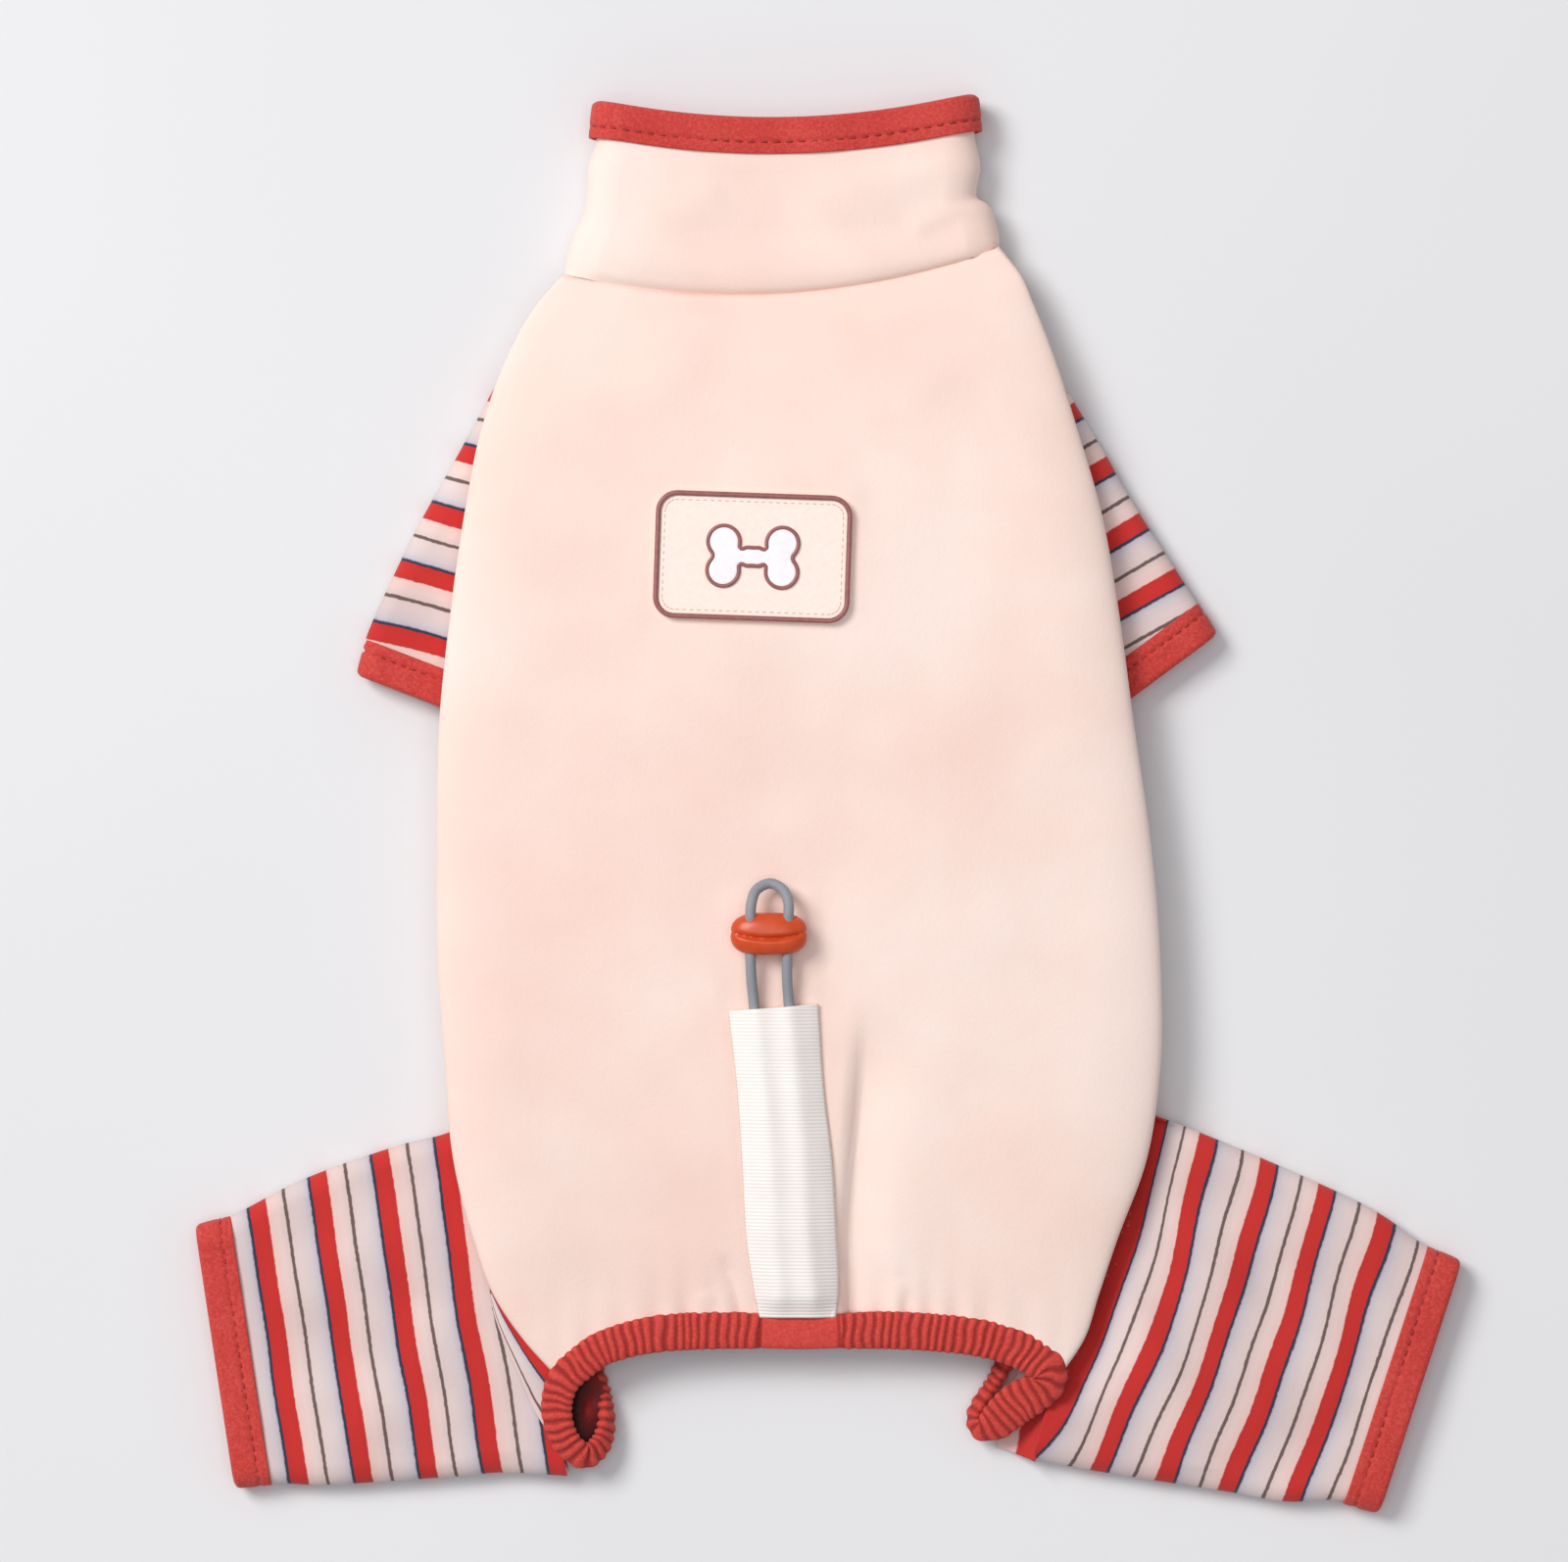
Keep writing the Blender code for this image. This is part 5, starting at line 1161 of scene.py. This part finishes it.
# %% Band route
BAND_ROUTE = (
    # x, y, z, half width, tilt in degrees
    (-55.4, 2.6, 12.9, 4.4, 0.0), (-50.5, 6.0, 13.3, 4.4, 0.0), (-45.0, 8.0, 13.5, 4.5, 0.0),
    (-37.0, 9.8, 13.6, 4.7, 0.0), (-28.0, 10.6, 13.6, 4.8, 0.0), (-18.0, 10.9, 13.6, 4.8, 0.0),
    (-9.5, 10.6, 13.7, 4.5, 0.0), (0.0, 10.2, 13.8, 4.3, 0.0), (9.5, 10.6, 13.7, 4.5, 0.0),
    (20.0, 10.9, 13.6, 4.8, 0.0), (34.0, 10.3, 13.6, 4.8, 0.0), (46.0, 8.9, 13.5, 4.8, 0.0),
    (54.0, 6.8, 13.3, 4.8, 0.0), (60.0, 3.9, 13.0, 4.8, 2.0), (63.6, 0.8, 12.5, 4.7, 6.0),
    (63.2, -2.8, 11.6, 4.7, 10.0), (60.0, -5.4, 10.5, 5.1, 8.0), (56.1, -7.8, 9.4, 5.4, 6.0),
    (52.5, -11.0, 8.2, 5.1, 6.0), (49.3, -13.9, 7.0, 4.3, 10.0), (46.4, -15.0, 5.9, 2.8, 26.0),
    (44.9, -12.4, 5.1, 2.2, 48.0), (46.2, -8.7, 4.7, 2.3, 55.0), (48.7, -5.0, 4.3, 2.3, 55.0),
    (51.0, -1.3, 3.9, 2.4, 50.0),
    (53.2, 3.0, 3.2, 2.8, 35.0), (56.6, 9.0, 2.3, 3.6, 12.0), (60.8, 15.5, 1.9, 4.2, 0.0),
    (64.8, 22.0, 1.8, 4.3, 0.0), (66.2, 27.0, 1.8, 4.3, 0.0), (63.6, 31.0, 1.8, 4.3, 0.0),
    (57.5, 32.3, 1.8, 4.3, 0.0), (40.0, 32.3, 1.8, 4.3, 0.0), (0.0, 32.3, 1.8, 4.3, 0.0),
    (-40.0, 32.3, 1.8, 4.3, 0.0), (-57.0, 32.3, 1.8, 4.3, 0.0), (-63.0, 31.0, 1.8, 4.3, 0.0),
    (-65.4, 26.5, 1.8, 4.3, 0.0), (-63.0, 20.0, 1.8, 4.3, 0.0), (-58.0, 11.5, 2.0, 3.8, 10.0),
    (-53.6, 4.0, 2.8, 2.8, 35.0), (-50.9, -2.6, 3.9, 2.0, 62.0), (-49.4, -8.5, 4.9, 2.2, 64.0),
    (-49.2, -14.2, 6.1, 2.7, 52.0), (-51.0, -19.2, 7.6, 3.2, 35.0), (-54.5, -21.5, 9.2, 3.4, 20.0),
    (-58.7, -18.4, 10.8, 3.6, 12.0), (-61.2, -13.0, 11.9, 3.8, 8.0), (-61.6, -7.4, 12.4, 4.0, 6.0),
    (-59.9, -2.0, 12.7, 4.2, 3.0),
)
RIB_PITCH, BAND_HALF_THICKNESS, BAND_STEPS, BAND_SIDES = 2.4, 1.6, 1500, 44
TAPE_FROM, TAPE_TO, UPPER_SIDE_Z = -9.6, 10.4, 10.0

route = np.array(BAND_ROUTE)
wrapped = np.concatenate([route[-3:], route, route[:4]])
at = lengths_between(wrapped[:, :3])
start, stop = at[3], at[-4]
fine = np.linspace(start, stop, BAND_STEPS, endpoint=False)
band = np.stack([read_row(at, wrapped[:, column], fine) for column in range(5)], axis=1)
line, half_width, tilt = band[:, :3], band[:, 3][:, None], np.radians(band[:, 4])[:, None]
ahead = unit(neighbour_chord(line))
side = unit(np.stack([ahead[:, 1], -ahead[:, 0], 0 * ahead[:, 0]], axis=1))
over = np.cross(side, ahead)
distance = lengths_between(line)[:, None]

# %% [markdown]
# The ribs are a cosine of the distance along the band, slanted and shifted by slow waves.
# They swell the profile and set the shade painted into its pleats, and they stop on the smooth
# tape, which has a seam at each end, with shade painted into it as well.

# %% Rear band
angle = 2 * math.pi * np.arange(BAND_SIDES)[None, :] / BAND_SIDES
flat_x = squared(np.cos(angle), 0.62)
flat_z = squared(np.sin(angle), 0.75)
shift = 0.22 * ripple(distance, 0 * distance, 17.0, 61) + 0.10 * ripple(distance, 9 * flat_x, 12.0, 63)
ribs = 0.5 + 0.5 * np.cos(2 * math.pi * (distance / RIB_PITCH + 0.12 * flat_x + shift))
upper_side = line[:, 2:3] > UPPER_SIDE_Z
smooth_tape = (line[:, :1] > TAPE_FROM) & (line[:, :1] < TAPE_TO) & upper_side
rib_depth = np.where(smooth_tape, 0.0, 0.60 + 0.18 * ripple(distance, 0 * distance, 9.0, 62))
seams = sum(np.exp(-((line[:, :1] - end) / 0.45) ** 2) for end in (TAPE_FROM, TAPE_TO)) * upper_side
swell = rib_depth * (ribs**0.7 - 0.6) - 0.5 * seams - 0.25 * smooth_tape
span = (half_width + swell * 0.5) * flat_x
thick = (BAND_HALF_THICKNESS + swell) * flat_z
u = span * np.cos(tilt) - thick * np.sin(tilt)
w = span * np.sin(tilt) + thick * np.cos(tilt)
band_grid = line[:, None] + u[..., None] * side[:, None] + w[..., None] * over[:, None]
band_grid[..., 2] = np.maximum(band_grid[..., 2], 0.02 - TORSO_PLACE[2])
# Second UV number, read by the finish as painted shade: low in pleats and seams, 0.85 on the smooth tape,
# which gets none.
open_cloth = np.where(smooth_tape, 0.85, ribs) * (1 - 0.9 * seams)
band_cloth = all_round(np.stack(np.broadcast_arrays(distance, open_cloth), axis=-1))
band_cloth = np.concatenate([band_cloth, band_cloth[:1]], axis=0)
rear_band = lay_surface("rear_band_ribs", band_grid, gathered, "rear_binding",
                        around=True, ring=True, cloth=band_cloth)

# %% [markdown]
# The band's own cloth closes the bottom of the left curl: a dished oval, deep in shade.

# %% Curl lining
reach = np.linspace(0.06, 1, 14)[:, None]
turn = 2 * math.pi * np.arange(48)[None, :] / 48
lining_x, lining_y = -54.6 + 5.6 * reach * np.cos(turn), -10.2 + 10.4 * reach * np.sin(turn)
lining = np.stack([lining_x, lining_y, 4.0 + 2.6 * reach**3 + 0.35 * np.sin(9 * turn) * reach], axis=-1)
curl_lining = lay_surface("curl_lining", lining, gathered, "rear_binding",
                          around=True, caps=True, cloth=np.ones((14, 49, 2)) * (0.0, 0.7))

# %% [markdown]
# ## The tape casing
# The casing is off-white grosgrain tape, sewn to the back as a flat tube. Grosgrain is
# woven with thick crossways yarns, so it has fine ribs across its width, 0.9 mm apart here.
# The two cords inside press up two soft ridges, and the tape sinks between and beside them.

# %% Tape finish
YARN_PITCH = 0.9
tape_finish, tree, shader = new_finish("grosgrain_tape", Roughness=0.72, Sheen_Weight=0.1)
_, along_mm = cloth_places(tree)
wave = node(tree, "Math", {0: along_mm, 1: 2 * math.pi / YARN_PITCH}, operation="MULTIPLY")
ribs = node(tree, "Math", {0: wave.outputs[0]}, operation="SINE")
slub = noise(tree, 260.0, 4.0)
mixed = node(tree, "Math", {0: slub, 1: 1.4, 2: ribs.outputs[0]}, operation="MULTIPLY_ADD")
tone = node(tree, "Math", {0: mixed.outputs[0], 1: 0.3, 2: 0.3}, operation="MULTIPLY_ADD")
tree.links.new(shade_ramp(tree, tone.outputs[0], ((0.0, "F1E8E1"), (0.5, "FAF3ED"), (1.0, "FEFAF5"))),
               shader.inputs["Base Color"])
add_relief(tree, shader, mixed.outputs[0], 0.25, 0.0002)
print("grosgrain ready, yarns", YARN_PITCH, "mm apart")

# %% Casing
CASING_WIDTH, CASING_WALL, CASING_FRONT, CASING_LENGTH = 23.0, 0.8, 92.8, 78.6
CASING_STEPS = 170
CASING_ROWS = (
    # along, across, width, back under it
    (0.00, -6.49, 1.00, 20.29), (0.25, -4.75, 0.96, 19.77), (0.50, -2.96, 1.00, 18.72),
    (0.75, -1.85, 1.00, 16.66), (0.90, -0.74, 0.95, 14.90), (1.00, -0.28, 0.87, 13.64),
)
centre_x, width, floor = between(CASING_ROWS, CASING_STEPS)
y_row = CASING_FRONT - np.linspace(0, CASING_LENGTH, CASING_STEPS)
half = width * CASING_WIDTH / 2 - CASING_WALL / 2
share = np.linspace(-1, 1, 90)[None, :]
x_top = centre_x[:, None] + half[:, None] * share
strands = [np.interp(y_row, strand[:, 1], strand[:, 0])[:, None]
           for strand in (cord_line[:halfway], cord_line[:halfway - 1:-1])]
ridges = sum(np.exp(-((x_top - strand) / 2.5) ** 2) for strand in strands)
height = 0.75 + 3.2 * (1 - np.abs(share) ** 2.6) + 0.75 * np.minimum(ridges, 1.0)
height = height + 0.14 * ripple(x_top, y_row[:, None], 13.0, 71) * (1 - share**4)
sewn_end = ease(np.linspace(CASING_LENGTH, 0, CASING_STEPS) / 6)[:, None]
height = np.minimum(height, 4.6) * (0.4 + 0.6 * sewn_end)
z_top = floor[:, None] + height
z_low = np.broadcast_to(floor[:, None] + FIT + 0.42, z_top.shape)
y_all = y_row[:, None] + (0.5 + 0.85 * share) * np.linspace(1, 0, CASING_STEPS)[:, None] ** 2
upper = np.stack([x_top, y_all, z_top], axis=-1)
lower = np.stack([x_top, y_all, z_low], axis=-1)[:, -2:0:-1]
casing_grid = np.concatenate([upper, lower[:, ::3]], axis=1)
across_mm = np.concatenate([x_top, lower[:, ::3, 0]], axis=1)
casing_cloth = all_round(np.stack([across_mm, casing_grid[..., 1]], axis=-1))
casing = lay_surface("casing_tape", casing_grid, tape_finish, "casing", around=True,
                     cloth=casing_cloth, wall=CASING_WALL, even=False)

# %% [markdown]
# ## The moulded patch
# A plate of soft cream rubber is sewn flat on the shoulders, with a raised mauve-brown rim
# and a plain bone in the middle. All parts follow one outline each: a profile, given by how
# far it stands inside the outline and how high, is carried round it.

# %% Patch finishes
rubber = grained_finish("cream_soft_rubber", 900.0, "FBE6DA", "FDEDE2", relief=(0.1, 0.0002),
                        Roughness=0.5, IOR=1.5)
mauve = grained_finish("mauve_soft_rubber", 700.0, "8F5553", "A0635F", relief=(0.1, 0.0002),
                       Roughness=0.42, IOR=1.5)
white = grained_finish("white_soft_rubber", 700.0, "F6F1F4", "FCF9FB", Roughness=0.45, IOR=1.5)
print("patch finishes:", rubber.name, mauve.name, white.name)

# %% Outlines and profiles
PATCH_SIZE, PATCH_CORNER, PATCH_THICKNESS = np.array([50.0, 32.6]), 5.5, 1.2
RIM_WIDTH, RELIEF_HEIGHT, PATCH_TILT, PATCH_DROP = 1.3, 0.6, -2.0, 0.45


def rounded_outline(size, corner, steps=24):
    """Four quarter circles joined by straight sides, anticlockwise, as one even line."""
    angle = np.radians(np.arange(4)[:, None] * 90 + np.linspace(0, 90, steps)[None, :])
    sign = np.array([(1, 1), (-1, 1), (-1, -1), (1, -1)], float)[:, None]
    points = sign * (size / 2 - corner) + corner * np.stack([np.cos(angle), np.sin(angle)], axis=-1)
    return points.reshape(-1, 2)


def even_outline(points, count):
    """A closed outline read at even distances."""
    closed = np.concatenate([points, points[:1]])
    at = lengths_between(closed)
    return read_line(closed, at, np.linspace(0, at[-1], count, endpoint=False))


def inside_by(outline, distance):
    """The outline moved inwards: each point along the normal of its neighbours' chord."""
    chord = unit(neighbour_chord(outline))
    return outline + distance * np.stack([-chord[:, 1], chord[:, 0]], axis=1)


# The plate lies on the plane that fits the back best at nine points under it.
patch_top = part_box("patch")[1][2] * 1000 - TORSO_PLACE[2]
spots = np.array([(sx, sy) for sx in (-1, 0, 1) for sy in (-1, 0, 1)]) * PATCH_SIZE / 2
heights = top_z(PATCH_CENTRE[1] + spots[:, 1])
slope = np.linalg.lstsq(np.column_stack([spots, np.ones(9)]), heights, rcond=None)[0][:2]


def on_patch(flat, level):
    """Flat patch places to the torso frame: tilted, and sloped with the shoulders under it."""
    plan = np.moveaxis(turned((flat[..., 0], flat[..., 1]), PATCH_TILT), 0, -1)
    reach = abs(slope[1]) * PATCH_SIZE[1] / 2 + abs(slope[0]) * PATCH_SIZE[0] / 2
    z = patch_top - PATCH_THICKNESS - reach + plan @ slope + level
    return np.concatenate([plan + PATCH_CENTRE - (0.0, PATCH_DROP), z[..., None]], axis=-1)


def carried_round(outline, profile):
    """Rows of (distance inside the outline, height) carried round it."""
    return np.stack([on_patch(inside_by(outline, inside), level) for inside, level in profile])


print("patch slope, mm for each mm:", slope.round(3))

# %% Plate and rim
outline = even_outline(rounded_outline(PATCH_SIZE, PATCH_CORNER), 240)
plate = carried_round(outline, ((0.25, 0.0), (0.06, 0.12), (0.0, 0.5), (0.06, PATCH_THICKNESS - 0.2),
                                (0.28, PATCH_THICKNESS), (2.0, PATCH_THICKNESS), (4.0, PATCH_THICKNESS)))
lay_surface("patch_plate", plate, rubber, "patch", around=True, caps=True)
bend = np.radians(np.linspace(0, 180, 13))
rim_profile = [(0.05, PATCH_THICKNESS - 0.3)]
rim_profile += list(zip(0.05 + RIM_WIDTH * (1 - np.cos(bend)) / 2,
                        PATCH_THICKNESS + 0.1 + (RELIEF_HEIGHT + 0.15) * squared(np.sin(bend), 0.6)))
rim_profile += [(0.05 + RIM_WIDTH, PATCH_THICKNESS - 0.3)]
lay_surface("patch_rim_bead", carried_round(outline, rim_profile), mauve, "patch_rim",
            around=True, ring=True)

# %% [markdown]
# The bone is drawn by its upper right quarter: an arc for the knob and two points for the
# bar. The quarter is mirrored twice and its corners are rounded by averaging neighbours.

# %% Bone
BONE_LENGTH, KNOB, BAR = 24.0, 4.56, 2.76
centre = np.array([BONE_LENGTH / 2 - KNOB, 0.8 * KNOB])
arc = np.radians(np.linspace(-50.0, 200.0, 40))
quarter = centre + KNOB * np.stack([np.cos(arc), np.sin(arc)], axis=1)
quarter = quarter[quarter[:, 1] > 0.15]
waist = np.array([[BONE_LENGTH / 2 - 2.25 * KNOB, BAR + 0.15], [BONE_LENGTH / 2 - 2.5 * KNOB, BAR]])
right = np.concatenate([quarter, waist])
upper = np.concatenate([right, right[::-1] * (-1, 1)])
bone = even_outline(np.concatenate([upper, upper[::-1] * (1, -1)]), 300)
for step in range(6):
    bone = (np.roll(bone, 1, axis=0) + 2 * bone + np.roll(bone, -1, axis=0)) / 4
line_profile = [(0.0, PATCH_THICKNESS - 0.3)]
line_profile += list(zip(0.5 * (1 - np.cos(bend)),
                         PATCH_THICKNESS + 0.1 + 0.65 * squared(np.sin(bend), 0.6)))
line_profile += [(1.0, PATCH_THICKNESS - 0.3)]
lay_surface("bone_line", carried_round(bone, line_profile), mauve, "patch_motif",
            around=True, ring=True)
fill = carried_round(bone, ((0.75, PATCH_THICKNESS - 0.2), (0.8, PATCH_THICKNESS + 0.3),
                            (1.05, PATCH_THICKNESS + 0.42), (1.5, PATCH_THICKNESS + 0.45)))
lay_surface("bone_fill", fill, white, "patch_motif", around=True, caps=True)

# %% [markdown]
# Cream thread holds the plate a little inside its edge; each stitch sinks into the rubber.

# %% Patch stitches
cream_thread = grained_finish("cream_sewing_thread", 2500.0, "E3C3B6", "EED3C7", Roughness=0.7)
STITCH_INSET, STITCH_COUNT = 2.35, 84
seam = inside_by(even_outline(rounded_outline(PATCH_SIZE, PATCH_CORNER), STITCH_COUNT), STITCH_INSET)
places = on_patch(seam, PATCH_THICKNESS + 0.02)
upwards = np.tile((0.0, 0.0, 1.0), (len(places), 1))
sew("patch_stitches", places, neighbour_chord(places), upwards, 1.25, 0.3, cream_thread, "patch_rubber")

# %% [markdown]
# ## The cloth's cut sizes
# Each limb's cut width and length are listed, with its cuff's name and its tube's girth. The
# jersey lies unstretched, so its area is the area that its grid measures, and a tube's cut is
# its girth by its length. The rear band is gathered: 12.4 mm2 of cloth go into each millimetre of it.


for limb_name, (width, length) in {
        "sleeve_left": (150.0, 80.0), "sleeve_right": (150.0, 80.0),
        "hind_leg_left": (196.0, 100.0), "hind_leg_right": (190.0, 110.0)}.items():
    cuff_name = cuff_of(limb_name)
    girth = 92.0 if "sleeve" in limb_name else 134.0
